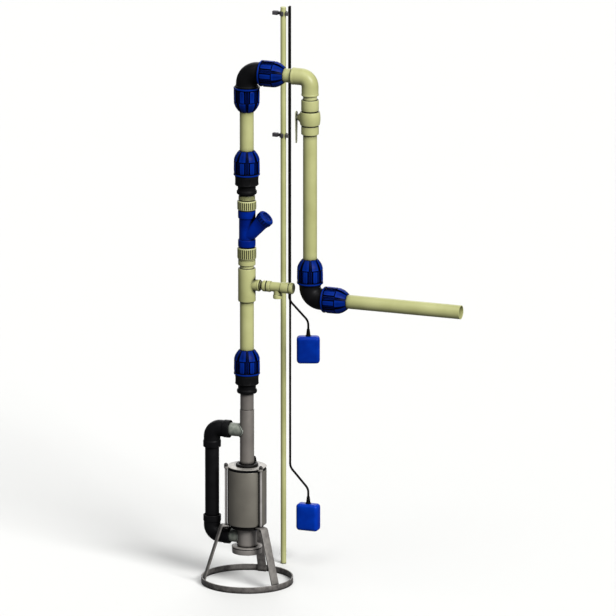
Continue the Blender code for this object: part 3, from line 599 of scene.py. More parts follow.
def elbow_rings(legs, bend, steps):
    """Rings from one mouth of an elbow, round its bend, to the other mouth."""
    leg_in, leg_out = legs
    side = leg_in.cross(leg_out)
    profile = rounded(steps)
    stations = [(leg_in * along, -leg_in, radius) for along, radius in profile]
    for step in range(1, BEND_STEPS):
        angle = math.pi / 2 * step / BEND_STEPS
        across = leg_out * math.cos(angle) + leg_in * math.sin(angle)
        travel = leg_out * math.sin(angle) - leg_in * math.cos(angle)
        stations.append(((leg_in + leg_out - across) * bend, travel, profile[-1][1]))
    stations += [(leg_out * along, leg_out, radius) for along, radius in reversed(profile)]
    rings = []
    for centre, travel, radius in stations:
        turn = Matrix((travel.cross(side), side, travel)).transposed()
        rings.append([centre + turn @ point for point in circle(0, radius)])
    return rings


def elbow_piece(name, corner, legs, bend, outer, inner, look):
    """A hollow elbow. Both profiles run from the mouth in to the bend."""
    rings = elbow_rings(legs, bend, outer) + elbow_rings(legs, bend, inner)[::-1]
    skin_piece(name, rings, upright(*corner), look)


def add_hexagon(shape, place, flats, tall, bore=None):
    """A hexagon nut or head with turned corners, hollow if it has a bore."""
    chamfer = tall * HEXAGON_CHAMFER
    turned = flats / 2 * HEXAGON_TURNED
    rings = []
    for along, limit in ((0, turned), (chamfer, flats), (tall - chamfer, flats), (tall, turned)):
        ring = []
        for point in circle(along, 1, HEXAGON_SIDES):
            inside = (math.atan2(point.y, point.x) + math.pi / 6) % (math.pi / 3) - math.pi / 6
            radius = min(flats / 2 / math.cos(inside), limit)
            ring.append(Vector((point.x * radius, point.y * radius, along)))
        rings.append(ring)
    if bore:
        rings += circles(((tall, bore), (0, bore)), HEXAGON_SIDES)
    add_skin(shape, rings, place, closed=bool(bore))


def add_bead(shape, points, radius, closed=False):
    """A weld bead along a row of points, with the ripples that its passes leave."""
    rings = []
    count = len(points)
    for index, point in enumerate(points):
        before = points[index - 1] if index or closed else point
        after = points[(index + 1) % count] if index < count - 1 or closed else point
        travel = (after - before).normalized()
        side = travel.orthogonal() if abs(travel.z) > STEEP else travel.cross(UP)
        side.normalize()
        turn = Matrix((travel.cross(side), side, travel)).transposed()
        swell = radius * (1 + RIPPLE * math.sin(index * RIPPLE_PITCH))
        rings.append([point + turn @ corner for corner in circle(0, swell, BEAD_SIDES)])
    add_skin(shape, rings, Matrix.Identity(4), closed)


def slab(axis, flat, low, high, place, width):
    """A flat outline pushed out along an axis into a slab, every sharp edge rounded."""
    shape = bmesh.new()
    loops = []
    for level in (low, high):
        corners = [Vector((*point[:axis], level, *point[axis:])) for point in flat]
        loops.append([shape.verts.new(place @ corner) for corner in corners])
        shape.faces.new(loops[-1])
    bridge(shape, *loops)
    bmesh.ops.recalc_face_normals(shape, faces=shape.faces)
    sharp = [edge for edge in shape.edges if edge.calc_face_angle(0) > SHARP_ANGLE]
    bmesh.ops.bevel(shape, geom=sharp, offset=width, segments=EDGE_SEGMENTS, profile=ROUND_PROFILE,
                    affect="EDGES", clamp_overlap=True)
    return shape


def join_into(shape, other):
    """Copy another bmesh's faces into a shape, and free it."""
    mesh = bpy.data.meshes.new("joined")
    other.to_mesh(mesh)
    other.free()
    shape.from_mesh(mesh)
    bpy.data.meshes.remove(mesh)


def arc(centre, radius, start, end, steps=ARC_STEPS):
    """Flat points along an arc, angles in degrees."""
    points = []
    for step in range(steps + 1):
        angle = math.radians(start + (end - start) * step / steps)
        points.append((centre[0] + radius * math.cos(angle), centre[1] + radius * math.sin(angle)))
    return points


def rounded_steps(half, rounding):
    """Places along one side of a rounded box, close together where its corner turns."""
    core = half - rounding
    turns = [math.tan(math.pi / 4 * step / CORNER_STEPS) * rounding for step in range(CORNER_STEPS + 1)]
    flat = [core * (2 * step / FLAT_STEPS - 1) for step in range(1, FLAT_STEPS)]
    return [-core - turn for turn in reversed(turns)] + flat + [core + turn for turn in turns]


def add_rounded_box(shape, half, rounding, place):
    """A box whose edges and corners are all parts of a ball."""
    spans = 2 * CORNER_STEPS + FLAT_STEPS
    ball = bmesh.new()
    bmesh.ops.create_cube(ball, size=2)
    bmesh.ops.subdivide_edges(ball, edges=ball.edges, cuts=spans - 1, use_grid_fill=True)
    steps = [rounded_steps(size, rounding) for size in half]
    for vert in ball.verts:
        spot = Vector(row[round((value + 1) / 2 * spans)] for row, value in zip(steps, vert.co))
        held = Vector(max(rounding - size, min(size - rounding, value)) for value, size in zip(spot, half))
        vert.co = place @ (held + (spot - held).normalized() * rounding)
    join_into(shape, ball)


# Level rail, clips, floats and leads

RAIL_X = 0.031
RAIL_Y = 0.284
RAIL_RADIUS = 0.01
RAIL_TOP = 2.058
LEAD_X = 0.0553
LEAD_RADIUS = 0.004
LEAD_OFFSET = 0.0042
LEAD_TOP = 2.062
LEAD_SPANS = 9
LEAD_SHARES = 5
LEAD_ROUNDNESS = 6
FLOAT_X = 0.1265
FLOAT_HALF = Vector((0.083, 0.045, 0.099)) / 2
FLOAT_ROUNDING = 0.0125
FLOAT_TOPS = {"float_upper": 0.8533, "float_lower": 0.232}
FLOAT_TURNS = {"float_upper": math.radians(20.8), "float_lower": 0.0}
LEAD_SIDES = {"float_upper": -1, "float_lower": 1}
SEAM_ROUND = 0.0127
SEAM_HALF = 0.0009
SEAM_PROUD = 0.0002
SEAM_EDGE = 0.0004

# A lead's swing: share of the way from the rail's side to over the float,
# share of the way from its own hanging line to the float's middle, height over the float
LEAD_SWING = (
    (0.0, 0.0, 0.16), (0.0, 0.0, 0.15), (0.0, 0.0, 0.1418), (0.016, 0.0, 0.1332),
    (0.062, 0.0, 0.1251), (0.135, 0.05, 0.1181), (0.26, 0.18, 0.109), (0.5, 0.5, 0.0914),
    (0.74, 0.82, 0.0738), (0.865, 0.95, 0.0649), (0.938, 1.0, 0.0579), (0.984, 1.0, 0.0498),
    (1.0, 1.0, 0.0412), (1.0, 1.0, 0.033), (1.0, 1.0, 0.018), (1.0, 1.0, GAP),
)


def smooth_route(points, shares):
    """Points of a smooth curve through a route, a few in each span."""
    padded = [2 * points[0] - points[1]] + points + [2 * points[-1] - points[-2]]
    route = []
    for before, start, end, after in zip(padded, padded[1:], padded[2:], padded[3:]):
        for step in range(shares):
            t = step / shares
            curve = 2 * start + (end - before) * t
            curve += (2 * before - 5 * start + 4 * end - after) * t ** 2
            curve += (3 * start - before - 3 * end + after) * t ** 3
            route.append(curve / 2)
    return route + [points[-1]]


def lead_route(side, float_top):
    """One lead's route: straight down on its side of the rail's plane, then out over its float."""
    hang = AXIS + Vector((LEAD_X, RAIL_Y + side * LEAD_OFFSET, 0))
    reach = FLOAT_X - LEAD_X
    swing = []
    for out, across, height in LEAD_SWING:
        swing.append(hang + Vector((reach * out, -side * LEAD_OFFSET * across, float_top + height)))
    top = hang + UP * LEAD_TOP
    straight = [top.lerp(swing[0], step / LEAD_SPANS) for step in range(LEAD_SPANS)]
    return straight + smooth_route(swing, LEAD_SHARES)


def make_lead(float_node, with_pieces):
    name = float_node.replace("float", "float_lead")
    route = lead_route(LEAD_SIDES[float_node], FLOAT_TOPS[float_node])
    curve = bpy.data.curves.new(name, "CURVE")
    curve.dimensions = "3D"
    curve.bevel_depth = LEAD_RADIUS
    curve.bevel_resolution = LEAD_ROUNDNESS
    curve.use_fill_caps = True
    spline = curve.splines.new("POLY")
    spline.points.add(len(route) - 1)
    for point, place in zip(spline.points, route):
        point.co = (*place, 1)
    curve.materials.append(SHADED_FINISHES["rubber"])
    lead = add_object(name + "_skin", curve)
    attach(lead, FIXED)
    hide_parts(name)


def float_seam(place):
    """The thin raised line where the two halves of a float's case meet."""
    outline = []
    reach = SEAM_PROUD - SEAM_ROUND
    for turn, (across, height) in enumerate(((1, 1), (-1, 1), (-1, -1), (1, -1))):
        centre = (across * (FLOAT_HALF.x + reach), height * (FLOAT_HALF.z + reach))
        outline += arc(centre, SEAM_ROUND, 90 * turn, 90 * turn + 90)
    return slab(1, outline, -SEAM_HALF, SEAM_HALF, place, SEAM_EDGE)


def make_float(node):
    """A float's rounded case with its moulding seam, and the tapered relief where its lead enters."""
    top = AXIS + Vector((FLOAT_X, RAIL_Y, FLOAT_TOPS[node]))
    turn = Matrix.Rotation(FLOAT_TURNS[node], 4, "Z")
    place = Matrix.Translation(top - UP * FLOAT_HALF.z) @ turn
    shape = bmesh.new()
    add_rounded_box(shape, FLOAT_HALF, FLOAT_ROUNDING, place)
    join_into(shape, float_seam(place))
    case = finish_piece(node, shape, "blue")
    inner = LEAD_RADIUS + GAP
    steps = (
        (-0.002, inner), (-0.002, 0.0095, 0.0008), (0.003, 0.0095, 0.001), (0.0045, 0.0078, 0.001),
        (0.026, inner + 0.0011, 0.0006), (0.026, inner),
    )
    relief = turned_piece(node + "_relief", steps, Matrix.Translation(top), "rubber", True, SMALL_SIDES)
    return [case, relief]


# Stand

LEG_EDGE = 0.0009
FOOT_WELD_INSET = 0.0012
FOOT_WELD_PROUD = 0.0006
FOOT_WELD_HEIGHTS = [0.003 + 0.0006 * step for step in range(28)]
FOOT_BEAD = 0.0016


def make_base_ring():
    tube_piece("base_ring", AT_AXIS, RING_HEIGHT, "stand", RING_RADIUS, RING_RADIUS - RING_THICK,
               sides=RING_SIDES)


def leg_outline():
    """One leg's strap in its radial plane: foot, slope, rounded bend and inward tab."""
    foot_in = LEG_FOOT - LEG_THICK
    tab_top = MOTOR_BOTTOM - GAP
    tab_low = tab_top - LEG_THICK
    lean = 90 - math.degrees(math.atan2(tab_low - RING_HEIGHT, foot_in - LEG_SHOULDER))
    centre = (LEG_BEND_REACH, tab_top - LEG_BEND)
    outside = arc(centre, LEG_BEND, lean, 90)
    inside = arc(centre, LEG_BEND - LEG_THICK, 90, lean)
    foot = [(foot_in, GAP), (LEG_FOOT, GAP), (LEG_FOOT, LEG_FOOT_HEIGHT)]
    tab = [(LEG_TAB_REACH, tab_top), (LEG_TAB_REACH, tab_low)]
    return foot + outside + tab + inside + [(foot_in, LEG_FOOT_HEIGHT)]


def make_legs():
    half = LEG_WIDTH / 2
    for name, degrees in LEG_ANGLES.items():
        place = turned_to_leg(degrees)
        shape = slab(1, leg_outline(), -half, half, place, LEG_EDGE)
        for side in (-1, 1):
            spot = (LEG_FOOT - FOOT_WELD_INSET, side * (half + FOOT_WELD_PROUD))
            add_bead(shape, [place @ Vector((*spot, height)) for height in FOOT_WELD_HEIGHTS], FOOT_BEAD)
        finish_piece(name, shape, "stand")


# Pump end and motor

STUB_FOOT = 0.004
STUB_WALL = 0.003
STUB_FILLET = 0.0005
STUB_ROOT = 0.3
STUB_WELD_PROUD = 0.0008
STUB_WELD_SIDES = 120
STUB_BEAD = 0.0021
EAR_HALF = 0.01
EAR_ROOT = 0.06
EAR_INSET = 0.003
EAR_EDGE = 0.001
EAR_STEPS = 20
WASHER = band(0, 0.0012, 0.0045, 0.0078, 0.0004)
ROD_END = ((0, 0.003), (0, 0.004, 0.0003), (0.004, 0.004, 0.0009), (0.004, 0.0028))
ROD_END_SEAT = 0.008
ROD_NUT_SEAT = 0.0012
ROD_NUT = (0.013, 0.0085, 0.0041)
GLAND_HEXAGON = (0.0138, 0.007)


def make_stub(name, main_radius, height):
    """A steel stub welded on to the side of a round body, for the bypass."""
    shape = bmesh.new()
    place = at(z=height, direction=WEST)
    steps = (
        (main_radius + STUB_FOOT, STUB_RADIUS), (STUB_REACH, STUB_RADIUS, 0.001),
        (STUB_REACH, STUB_RADIUS - STUB_WALL),
    )
    add_branch(shape, place, main_radius, steps, STUB_FILLET, main_radius * STUB_ROOT)
    seam = []
    for point in circle(0, STUB_RADIUS + STUB_WELD_PROUD, STUB_WELD_SIDES):
        point.z = saddle_height(point, main_radius) + STUB_WELD_PROUD
        seam.append(place @ point)
    add_bead(shape, seam, STUB_BEAD, closed=True)
    finish_piece(name, shape, "stub")


def make_pump_end():
    flange = (
        (0, 0.024, 0.002), (0, 0.0535, 0.002), (0.0185, 0.0545, 0.0008), (0.019, 0.052, 0.0004),
        (0.0212, 0.052, 0.0004), (0.0217, 0.055, 0.0008), (0.0252, 0.055, 0.001), (0.0252, 0.024, 0.001),
    )
    turned_piece("intake_flange", flange, at(z=FLANGE_BOTTOM), "pump_end_painted_light", closed=True)
    low = BARREL_BOTTOM + GAP
    high = PLATE_BOTTOM - GAP
    barrel = (
        (low, BARREL_RADIUS - 0.002), (low, BARREL_RADIUS, 0.001), (high - 0.006, BARREL_RADIUS, 0.003),
        (high - 0.003, BARREL_RADIUS + 0.003, 0.001), (high, BARREL_RADIUS + 0.003, 0.0005),
        (high, BARREL_RADIUS - 0.002),
    )
    turned_piece("pump_barrel", barrel, AT_AXIS, "pump_end_painted_light")
    make_stub("barrel_stub", BARREL_RADIUS, BYPASS_BOTTOM)


def make_motor():
    plate = (
        (0, 0.03), (0, 0.0585, 0.002), (0.0096, 0.0585, 0.001), (0.01, 0.0627, 0.0004),
        (0.0137, 0.0627, 0.0006), (0.0137, 0.03),
    )
    turned_piece("motor_lower_plate", plate, at(z=PLATE_BOTTOM), "casting")
    tall = COVER_BOTTOM - GAP - MOTOR_BOTTOM
    shell = (
        (0, 0.05), (0, MOTOR_RADIUS, 0.0048), (tall - 0.0032, MOTOR_RADIUS, 0.001),
        (tall - 0.003, MOTOR_RADIUS - 0.0045, 0.0005), (tall, MOTOR_RADIUS - 0.0045, 0.0005), (tall, 0.05),
    )
    turned_piece("motor_housing", shell, at(z=MOTOR_BOTTOM), "motor", sides=MOTOR_SIDES)


def ear_outline():
    """An ear's flat shape, from inside the cover out to a round end about its rod."""
    round_end = arc((ROD_CIRCLE - EAR_INSET, 0), EAR_HALF, -90, 90, EAR_STEPS)
    return [(EAR_ROOT, -EAR_HALF)] + round_end + [(EAR_ROOT, EAR_HALF)]


def make_top_cover():
    """The cover's disc with a lip over a black ring that paints the shade beneath the lip, the collar
    painted near black for the shade round the riser, boss and ears.
    """
    shape = bmesh.new()
    inner = STEEL_RADIUS + GAP
    disc = (
        (COVER_BOTTOM, inner), (COVER_BOTTOM, MOTOR_RADIUS - 0.006, 0.0004),
        (COVER_TOP - 0.0024, MOTOR_RADIUS - 0.006, 0.0004), (COVER_TOP - 0.0022, MOTOR_RADIUS, 0.0004),
        (COVER_TOP, MOTOR_RADIUS, 0.0016), (COVER_TOP, inner),
    )
    add_turned(shape, disc, AT_AXIS, closed=True, sides=MOTOR_SIDES)
    # Painted shade: a black ring under the lip stands for the shade that falls there
    shade_ring = band(COVER_BOTTOM - 0.003, COVER_TOP - 0.0026, MOTOR_RADIUS - 0.0042, MOTOR_RADIUS - 0.0018,
                0.0006)
    turned_piece("cover_painted_shade_ring", shade_ring, AT_AXIS, "black", closed=True, sides=MOTOR_SIDES)
    # Painted shade: the collar takes the near-black casting finish to stand for the shade round the
    # riser's foot
    collar = (
        (COVER_TOP + GAP, inner), (COVER_TOP + GAP, 0.0395, 0.0006), (COLLAR_TOP, 0.0395, 0.0022),
        (COLLAR_TOP, 0.029, 0.0008), (COLLAR_TOP - 0.0045, 0.029, 0.0005), (COLLAR_TOP - 0.0045, inner),
    )
    turned_piece("cover_collar", collar, AT_AXIS, "casting", closed=True)
    boss_top = COLLAR_TOP - 0.0004
    boss = ((COVER_BOTTOM + 0.002, 0.0105), (boss_top, 0.0105, 0.0012), (boss_top, 0.006))
    add_turned(shape, boss, at(GLAND_PLACE.x, GLAND_PLACE.y), sides=SMALL_SIDES)
    for degrees in LEG_ANGLES.values():
        place = turned_to_leg(degrees)
        join_into(shape, slab(2, ear_outline(), EAR_BOTTOM, EAR_TOP, place, EAR_EDGE))
    finish_piece("motor_top_cover", shape, "cover")


def make_tie_rods():
    """The rods that clamp the motor, with a washer and a nut at each end."""
    nuts = bmesh.new()
    rod = band(MOTOR_BOTTOM, EAR_BOTTOM - GAP, ROD_RADIUS - 0.001, ROD_RADIUS, 0.0005)
    for name, degrees in LEG_ANGLES.items():
        place = turned_to_leg(degrees) @ Matrix.Translation((ROD_CIRCLE, 0, 0))
        turned_piece(name.replace("leg", "tie_rod"), rod, place, "rod", sides=SMALL_SIDES)
        for height, way in ((EAR_TOP, 1), (MOTOR_BOTTOM - GAP - LEG_THICK, -1)):
            spot = place @ Matrix.Translation((0, 0, height)) @ Matrix.Scale(way, 4, UP)
            add_turned(nuts, WASHER, spot, closed=True, sides=SMALL_SIDES)
            add_hexagon(nuts, spot @ Matrix.Translation((0, 0, ROD_NUT_SEAT)), *ROD_NUT)
            add_turned(nuts, ROD_END, spot @ Matrix.Translation((0, 0, ROD_END_SEAT)), sides=SMALL_SIDES)
    finish_piece("tie_rod_nuts", nuts, "nut")


def make_cable_gland():
    """The motor's cable entry: a hexagon with a domed cap over it, hollowed at its end."""
    shape = bmesh.new()
    place = at(GLAND_PLACE.x, GLAND_PLACE.y, GLAND_PLACE.z + GAP)
    add_hexagon(shape, place, *GLAND_HEXAGON)
    dome = (
        (0.0065, 0.0055), (0.0065, 0.006, 0.0003), (0.014, 0.006, 0.0025), (0.0175, 0.0038, 0.0008),
        (0.0175, 0.0026, 0.0003), (0.015, 0.0024),
    )
    add_turned(shape, dome, place, sides=SMALL_SIDES)
    finish_piece("cable_gland", shape, "black")


# Steel riser and bypass

def make_steel_riser():
    """The riser, with a narrow neck where its thinner upper length starts."""
    top = ADAPTOR_LOWER + RISER_STOP - GAP
    neck = STEEL_TOP_RADIUS - 0.0008
    steps = (
        (STEEL_FOOT, STEEL_BORE), (STEEL_FOOT, STEEL_RADIUS, 0.0008), (STEEL_STEP, STEEL_RADIUS, 0.0008),
        (STEEL_STEP, neck, 0.0003), (STEEL_STEP + 0.002, neck, 0.0003),
        (STEEL_STEP + 0.0025, STEEL_TOP_RADIUS, 0.0004), (top, STEEL_TOP_RADIUS, 0.001), (top, STEEL_BORE),
    )
    turned_piece("steel_riser", steps, AT_AXIS, "riser", closed=True)
    make_stub("riser_stub", STEEL_RADIUS, BYPASS_TOP)


def make_bypass():
    seat = BYPASS_RADIUS + GAP
    outer = (
        (0.066, 0.029), (0.07, 0.029), (0.07, 0.032, 0.0018), (0.048, 0.032, 0.0018),
        (0.0455, 0.03, 0.0015), (BYPASS_BEND, 0.03),
    )
    inner = ((0.066, seat), (BYPASS_STOP, seat), (BYPASS_STOP, BYPASS_BORE), (BYPASS_BEND, BYPASS_BORE))
    upper = Vector((BYPASS_X, 0, BYPASS_TOP))
    lower = Vector((BYPASS_X, 0, BYPASS_BOTTOM))
    elbow_piece("bypass_upper_elbow", upper, (DOWN, EAST), BYPASS_BEND, outer, inner, "black")
    elbow_piece("bypass_lower_elbow", lower, (EAST, UP), BYPASS_BEND, outer, inner, "black")
    tall = BYPASS_TOP - BYPASS_BOTTOM - 2 * (BYPASS_STOP + GAP)
    place = at(BYPASS_X, 0, BYPASS_BOTTOM + BYPASS_STOP + GAP)
    tube_piece("bypass_pipe", place, tall, "black", BYPASS_RADIUS, BYPASS_BORE)


# Compression fittings

NUT_LENGTH = 0.0893
NUT_LUGS = 8
NUT_MOUTH = SEAT + 0.01
NUT_FLOOR = ((0, 0.0418), (0.054, 0.0418, 0.01), (0.0715, 0.0366, 0.008), (NUT_LENGTH, 0.0262))
NUT_CREST = ((0, 0.0475), (0.054, 0.0475, 0.012), (0.0715, 0.042, 0.01), (NUT_LENGTH, 0.029))
NUT_COLLAR = (
    (0, 0.0432), (0.0006, 0.0456), (0.0016, 0.047), (0.0058, 0.047), (0.0067, 0.0462), (0.007, 0.0435),
)
LUG_EDGE = 0.31


def lug(half):
    """Corners of one lug's pitch, each a share of the pitch and a level from the floor to the crest."""
    return [(-share, level) for share, level in reversed(half[1:])] + list(half) + [(0.5, 0)]


BARREL_LUG = lug((
    (0.0, 1), (0.1, 1), (0.208, 1), (0.238, 0), (0.336, 0), (0.35, 0.45), (0.378, 0.45), (0.392, 0),
))
NOSE_LUG = lug((
    (0.0, 1), (0.17, 1), (0.335, 1), (0.385, 0), (0.425, 0), (0.44, 0), (0.455, 0), (0.47, 0),
))
# Rings along the nut: distance, lug, and how much of the lug's width and height stands there
NUT_RINGS = (
    (0.0086, BARREL_LUG, 0.45, 0.0), (0.0094, BARREL_LUG, 0.6, 0.7), (0.0112, BARREL_LUG, 0.8, 0.95),
    (0.0145, BARREL_LUG, 0.94, 1.0), (0.0185, BARREL_LUG, 1.0, 1.0), (0.0508, BARREL_LUG, 1.0, 1.0),
    (0.0518, BARREL_LUG, 1.0, 0.8), (0.0522, BARREL_LUG, 1.0, 0.35), (0.0536, NOSE_LUG, 1.0, 0.35),
    (0.054, NOSE_LUG, 1.0, 0.8),
    *((along, NOSE_LUG, 1.0, 1.0) for along in (0.0552, 0.06, 0.065, 0.07, 0.074, 0.079, 0.087)),
    (NUT_LENGTH, NOSE_LUG, 1.0, 0.5),
)


def follow(profile, along):
    """A profile's radius at a distance."""
    for (low, low_radius), (high, high_radius) in zip(profile, profile[1:]):
        if along <= high:
            return low_radius + (high_radius - low_radius) * (along - low) / (high - low)
    return profile[-1][1]


def lug_ring(along, corners, width, level, floor, crest):
    """One ring of the nut, whose lugs stand as wide and as high as asked."""
    pitch = 2 * math.pi / NUT_LUGS
    low = follow(floor, along)
    high = follow(crest, along)
    ring = []
    for index in range(NUT_LUGS):
        for share, height in corners:
            spread = share * width if abs(share) < LUG_EDGE else share
            angle = pitch * (index + spread)
            radius = low + (high - low) * height * level
            ring.append(Vector((radius * math.cos(angle), radius * math.sin(angle), along)))
    return ring


def plain_rings(profile):
    """Round rings of the nut, whose corners start where those of the lugs do."""
    turn = Matrix.Rotation(BARREL_LUG[0][0] * 2 * math.pi / NUT_LUGS, 3, "Z")
    rings = circles(profile, NUT_LUGS * len(BARREL_LUG))
    return [[turn @ point for point in ring] for ring in rings]


def compression_nut(name, place):
    """A lugged nut: plain collar, raised lugs over its body, and broad lugs down its nose."""
    floor = rounded(NUT_FLOOR)
    crest = rounded(NUT_CREST)
    rings = plain_rings(((0, NUT_MOUTH), *NUT_COLLAR))
    rings += [lug_ring(*ring, floor, crest) for ring in NUT_RINGS]
    rings += plain_rings(((NUT_LENGTH, SEAT), (0, SEAT)))
    skin_piece(name, rings, place, "lugs")


BODY_RADIUS = 0.0425
PANEL_PERIOD = SIDES // 8
PANEL_DENTS = range(2, 11)
PANEL_ROWS = ((0.0375, 0), (0.0385, 0.0009), (0.06, 0.0009), (0.061, 0))
END_CHAMFER = 0.0008


def adaptor_body(name, height, foot, inner):
    """A black fitting: a bead round its thread, a neck, and a panelled body under the nut."""
    outer = (
        (0, 0.033), (0.0008, 0.0345, 0.0008), (0.004, 0.0362, 0.002), (0.0115, 0.0362, 0.0025),
        (0.015, 0.0322, 0.001), (0.031, 0.0322, 0.001), (0.0322, 0.04, 0.0008), (0.0355, 0.0425, 0.0025),
    )
    end = ((ADAPTOR_LENGTH - END_CHAMFER, BODY_RADIUS), (ADAPTOR_LENGTH, BODY_RADIUS - END_CHAMFER))
    rings = circles([*foot, *rounded(outer)])
    rings += dented_rings(PANEL_ROWS, BODY_RADIUS, SIDES, PANEL_PERIOD, PANEL_DENTS)
    skin_piece(name, rings + circles([*end, *inner]), at(z=height), "black")


def make_adaptors():
    socket = [(ADAPTOR_LENGTH, SEAT), (ADAPTOR_SOCKET, SEAT), (ADAPTOR_SOCKET, STOP_BORE)]
    steel_seat = STEEL_TOP_RADIUS + GAP
    inner = socket + [(RISER_STOP, STOP_BORE), (RISER_STOP, steel_seat), (0, steel_seat)]
    adaptor_body("adaptor_lower_body", ADAPTOR_LOWER, (), inner)
    spigot = (
        (-SPIGOT_LENGTH, SPIGOT_RADIUS - END_CHAMFER), (END_CHAMFER - SPIGOT_LENGTH, SPIGOT_RADIUS),
        (0, SPIGOT_RADIUS),
    )
    adaptor_body("adaptor_upper_body", ADAPTOR_UPPER, spigot, socket + [(-SPIGOT_LENGTH, STOP_BORE)])
    for name, height in (("adaptor_lower_nut", ADAPTOR_LOWER), ("adaptor_upper_nut", ADAPTOR_UPPER)):
        compression_nut(name, at(z=height + ADAPTOR_LENGTH + GAP))


def compression_elbow(name, corner, legs, nuts):
    """A black elbow with a raised band at each mouth and a lugged nut on each leg."""
    outer = (
        (ELBOW_REACH, SEAT), (ELBOW_REACH, 0.0415, 0.0006), (ELBOW_REACH - 0.0045, 0.0415, 0.0012),
        (ELBOW_REACH - 0.006, ELBOW_RADIUS, 0.001), (ELBOW_BEND, ELBOW_RADIUS),
    )
    stop = PIPE_STOP - GAP
    seat = SEAT - 0.0001
    inner = ((ELBOW_REACH, seat), (stop, seat), (stop, STOP_BORE), (ELBOW_BEND, STOP_BORE))
    elbow_piece(name, corner, legs, ELBOW_BEND, outer, inner, "black")
    for leg, nut in zip(legs, nuts):
        compression_nut(nut, at(*(corner + leg * (ELBOW_REACH + GAP)), leg))


# Riser pipes, tee and relief valve

def make_riser_pipes():
    low = ADAPTOR_LOWER + ADAPTOR_SOCKET + GAP
    tube_piece("riser_pipe_lower", at(z=low), TEE_BOTTOM + TEE_SEAT - GAP - low)
    low = ADAPTOR_UPPER + ADAPTOR_SOCKET + GAP
    tube_piece("riser_pipe_upper", at(z=low), TOP_Z - PIPE_STOP - low)


BRANCH_FILLET = 0.0008
RELIEF_FILLET = 0.0006
RELIEF_WAIST = 0.0175


def socket_mouth(end, inward):
    """The rounded rim of a socket and the seat inside it, from the skin in to the bore."""
    return [(end, SOCKET_RADIUS, 0.0028), (end, SEAT + 0.0012, 0.0008), (end + inward * 0.003, SEAT)]


def make_tee():
    """The riser's tee, with a beaded branch that takes the relief valve."""
    shape = bmesh.new()
    seats = (TEE_TOP - TEE_SEAT, TEE_BOTTOM + TEE_SEAT)
    steps = socket_mouth(TEE_BOTTOM, 1)[::-1] + socket_mouth(TEE_TOP, -1)
    steps += [(seats[0], SEAT), (seats[0], PIPE_BORE), (seats[1], PIPE_BORE), (seats[1], SEAT)]
    add_turned(shape, steps, AT_AXIS, closed=True)
    branch = (
        (0.0365, 0.0205), (0.044, 0.0205, 0.0005), (0.045, 0.0215, 0.0006), (0.0495, 0.0215, 0.0012),
        (0.051, 0.0195, 0.0008), (0.051, 0.0172),
    )
    place = at(z=TEE_MIDDLE, direction=EAST)
    bore = ((0.051, 0.0163), (0.029, 0.0163))
    add_branch(shape, place, SOCKET_RADIUS, branch, BRANCH_FILLET, root=0.0265, bore=bore)
    finish_piece("riser_tee", shape, "cream")


def make_relief():
    """The relief valve on the tee's branch, with its outlet socket pointing down."""
    shape = bmesh.new()
    body = (
        (0.0383, 0.0125), (0.0383, 0.016, 0.0005), *groove(0.055, 0.0592, 0.016, 0.0136, 0.0004),
        (0.0625, 0.016, 0.001), (0.063, 0.02, 0.0016), *groove(0.0752, 0.0794, 0.02, 0.0168, 0.0006),
        (0.0915, 0.02, 0.0016), (0.0925, RELIEF_WAIST, 0.0012), (0.1325, RELIEF_WAIST, 0.0012),
        (0.1335, 0.02, 0.0016), (0.1622, 0.02, 0.001), (0.1627, 0.0172, 0.0004),
        (0.165, 0.0172, 0.0004), (0.165, 0.012),
    )
    place = at(z=TEE_MIDDLE, direction=EAST)
    add_turned(shape, body, place)
    port = (
        (0.0215, 0.0145), (0.0272, 0.0145, 0.0008), (0.0285, 0.0165, 0.0014), (0.041, 0.0165, 0.0014),
        (0.041, 0.0122, 0.0006),
    )
    below = at(RELIEF_PORT_X, 0, TEE_MIDDLE, DOWN)
    bore = ((0.039, 0.0115), (0.012, 0.0115))
    add_branch(shape, below, RELIEF_WAIST, port, RELIEF_FILLET, root=0.006, bore=bore)
    finish_piece("relief_valve", shape, "cream")
    cap = (
        (0.1653, 0.012), (0.1653, 0.0205, 0.0006), (0.175, 0.0205, 0.0022), (0.178, 0.018, 0.001),
        (0.178, 0.012, 0.0006), (0.177, 0.0112, 0.0006), (0.177, 0.004),
    )
    turned_piece("relief_cap", cap, place, "cream")


# Unions and check valve

RIB_PERIOD = 8
RIB_GAPS = (3, 4, 5)
UNION_RIBS = 28
UNION_RIM = 0.0012
UNION_MOUTH = 0.003
UNION_SEAT = 0.0069
RIDGES = 3
RIDGE_PITCH = 0.0042
RIDGE_STEPS = ((0.0035, 0.0285), (0.0041, 0.03), (0.0063, 0.03), (0.0069, 0.0285))
CAP_NOTCHES = 18
CAP_RADIUS = 0.031


def union_nut(name, low, high):
    """A union nut with narrow finger ribs between two plain bands."""
    sides = UNION_RIBS * RIB_PERIOD
    radius = UNION_NUT_RADIUS
    mouth = radius - UNION_MOUTH
    rim = radius - UNION_RIM
    tall = high - low
    rows = ((0.004, 0), (0.0052, 0.0022), (tall - 0.0052, 0.0022), (tall - 0.004, 0))
    rings = circles(((0, SEAT), (0, mouth), (UNION_RIM, rim)), sides)
    rings += dented_rings(rows, radius, sides, RIB_PERIOD, RIB_GAPS)
    rings += circles(((tall - UNION_RIM, rim), (tall, mouth), (tall, SEAT)), sides)
    skin_piece(name, rings, at(z=low), "cream")


